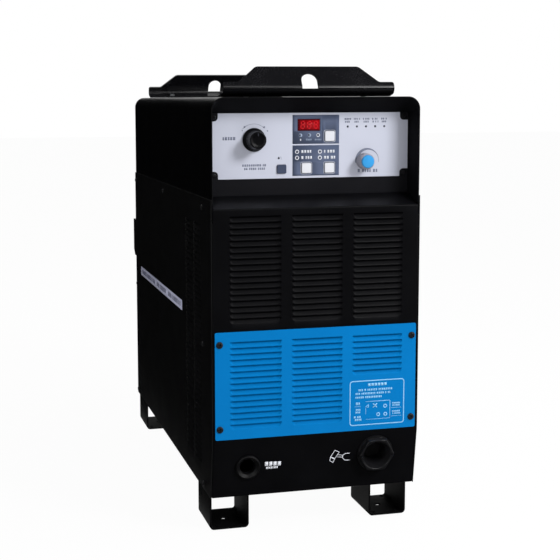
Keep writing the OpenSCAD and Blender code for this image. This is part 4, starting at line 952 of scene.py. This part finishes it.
def on_left(patches, lift=0.0):
    """Lays (x, z) prints on the left side: x becomes the distance from the front face."""
    out = -W_OUT - lift
    return [(np.stack([np.full(g.shape[:2], out), g[..., 0], g[..., 2]], -1), k, c) for g, k, c in patches]


# Silver band on the left side, bare but for a generic row of darker blocks.
silver = on_left([patch(236.0, 681.5, 333.0, 351.3, 0)])
printed("side_band", silver, silver_band, "side_left", out=(-1, 0, 0))
words = []
for seed, (y0, y1) in enumerate(((252, 375), (395, 491), (513, 667)), 50):
    words += bars(y0, y1, 346.4, 8.4, 0, seed)
printed("side_band_marks", on_left(words, 0.1), band_ink, "side_left", out=(-1, 0, 0), thick=0.05)


def on_chin(patches):
    """Lays (x, z) prints on the sloping lower front."""
    return [(np.stack([g[..., 0], (CHIN_Z - g[..., 2]) * LEAN, g[..., 2]], -1), k, c) for g, k, c in patches]


# Cable marks: a torch drawn in outline beside the gland, and generic blocks beside the grommet.
torch = [stroke([(33.2, 130.4), (40.4, 126.2), (33.4, 115.4), (26.0, 119.6)], 0.9, 0, True)]
torch.append(stroke([(25.8, 118.4), (33.0, 114.6), (30.8, 108.8), (24.9, 112.2)], 0.95, 0, True))
torch += [stroke([(38.2, 121.8), (46.8, 120.6)], 0.8, 0), stroke([(37.0, 118.2), (46.8, 117.0)], 0.8, 0)]
torch.append(stroke([(58.9, 123.2), (51.0, 123.0), (46.8, 119.6), (46.9, 115.6), (51.0, 111.4), (59.3, 110.8)], 1.0, 0))
torch += [patch(-86.2 + 7.2 * i, -80.6 + 7.2 * i, 112.2 - 0.3 * i, 119.2 - 0.3 * i, 0) for i in range(4)]
torch += bars(-83.8, -60.6, 110.4, 3.6, 0, 31)
printed("lower_front_marks", on_chin(torch), white_ink, "chin_panel")

# ---------- stage ----------


def seen(tree):
    """1 for rays from the camera, a reflection or glass, 0 for those that light a surface."""
    path = put(tree, "ShaderNodeLightPath").outputs
    two = put(tree, "ShaderNodeMath", {0: path["Is Camera Ray"], 1: path["Is Glossy Ray"]}, operation="MAXIMUM")
    inputs = {0: two.outputs[0], 1: path["Is Transmission Ray"]}
    return put(tree, "ShaderNodeMath", inputs, operation="MAXIMUM").outputs[0]


def plain(name, colour, shown):
    """A stage surface that is diffuse to the light and, by the share shown, pure white to the rays of seen()."""
    m, tree = blank(name)
    part = put(tree, "ShaderNodeMath", {0: seen(tree), 1: shown}, operation="MULTIPLY")
    body = put(tree, "ShaderNodeBsdfDiffuse", {"Color": linear(colour)})
    glow = put(tree, "ShaderNodeEmission", {"Color": (1, 1, 1, 1), "Strength": 1.0})
    mix = put(tree, "ShaderNodeMixShader", {0: part.outputs[0], 1: body.outputs[0], 2: glow.outputs[0]})
    put(tree, "ShaderNodeOutputMaterial", {"Surface": mix.outputs[0]})
    return m


def card(name, centre, size, normal, finish):
    """A flat stage surface."""
    n = np.asarray(normal, float) / np.linalg.norm(normal)
    up = np.array([0, 0, 1.0]) if abs(n[2]) < 0.9 else np.array([0, 1.0, 0])
    side = np.cross(up, n)
    side /= np.linalg.norm(side)
    up = np.cross(n, side)
    c = np.asarray(centre, float)
    v = [c + side * sx * size[0] / 2 + up * sz * size[1] / 2 for sx, sz in ((-1, -1), (1, -1), (1, 1), (-1, 1))]
    mesh = bpy.data.meshes.new(name)
    mesh.from_pydata([tuple(p) for p in v], [], [(0, 1, 2, 3)])
    mesh.materials.append(finish)
    obj = placed(name, mesh)
    return obj


card("floor", (0, 0, 0), (40, 40), (0, 0, 1), plain("floor_paper", "#f4f4f4", 0.965))

# Dark flags that only reflections see: they keep the black paint from mirroring the white stage.
dark, tree = blank("flag_black")
black = put(tree, "ShaderNodeBsdfDiffuse", {"Color": linear("#050505")})
put(tree, "ShaderNodeOutputMaterial", {"Surface": black.outputs[0]})
for name, centre, size, normal in (
    ("flag_left", (-2.2, 1.2, 1.4), (7.0, 4.0), (1, 0, 0)),
    ("flag_rear", (-1.3, 4.2, 1.4), (3.0, 4.0), (0, -1, 0)),
    ("flag_high", (0.6, -1.75, 3.6), (5.0, 2.2), (0, 0.45, -0.9)),
    ("flag_front", (0.9, -3.6, 1.2), (6.0, 4.0), (-0.15, 1, 0)),
    ("flag_low_front", (0.4, -2.05, 0.002), (5.2, 3.4), (0, 0, 1)),
    ("flag_low_left", (-1.32, 1.6, 0.002), (2.26, 5.4), (0, 0, 1)),
):
    flag = card(name, centre, size, normal, dark)
    flag.visible_camera = flag.visible_shadow = flag.visible_diffuse = flag.visible_transmission = False

world = bpy.data.worlds.new("studio")
bpy.context.scene.world = world
world.use_nodes = True
tree = world.node_tree
tree.nodes.clear()
soft = put(tree, "ShaderNodeBackground", {"Color": linear("#ffffff"), "Strength": 0.43})
full = put(tree, "ShaderNodeBackground", {"Color": (1, 1, 1, 1), "Strength": 1.0})
mix = put(tree, "ShaderNodeMixShader", {0: seen(tree), 1: soft.outputs[0], 2: full.outputs[0]})
put(tree, "ShaderNodeOutputWorld", {"Surface": mix.outputs[0]})


def lamp(name, place, aim, size, watts, glossy, diffuse=True):
    """A soft box."""
    data = bpy.data.lights.new(name, "AREA")
    data.shape, data.size, data.size_y, data.energy = "RECTANGLE", size[0], size[1], watts
    obj = placed(name, data)
    p, q = np.asarray(place, float), np.asarray(aim, float)
    obj.location = p
    obj.rotation_euler = Vector(q - p).to_track_quat("-Z", "Y").to_euler()
    obj.visible_glossy, obj.visible_diffuse = glossy, diffuse


lamp("key_right", (1.4, -2.05, 1.95), (0, -0.3, 0.4), (0.8, 0.8), 50, False)
lamp("overhead", (0.95, -0.5, 2.2), (0, -0.1, 0.5), (1.2, 1.2), 20, False)
# A strip that only draws highlights on rounded edges.
lamp("strip", (1.35, -2.1, 1.62), (0.1, -0.3, 0.72), (1.4, 0.7), 9, True, False)

camera = bpy.data.cameras.new("camera")
camera.sensor_width, camera.lens, camera.shift_x, camera.shift_y = 36.0, 76.045, 0.08929, -0.07789
eye = placed("camera", camera)
eye.location = (-0.57786, FRONT - 1.79518, 0.70596)
eye.rotation_euler = (math.radians(83.3497), math.radians(0.2597), math.radians(-13.6135))
bpy.context.scene.camera = eye
bpy.context.scene.view_settings.view_transform = "Standard"
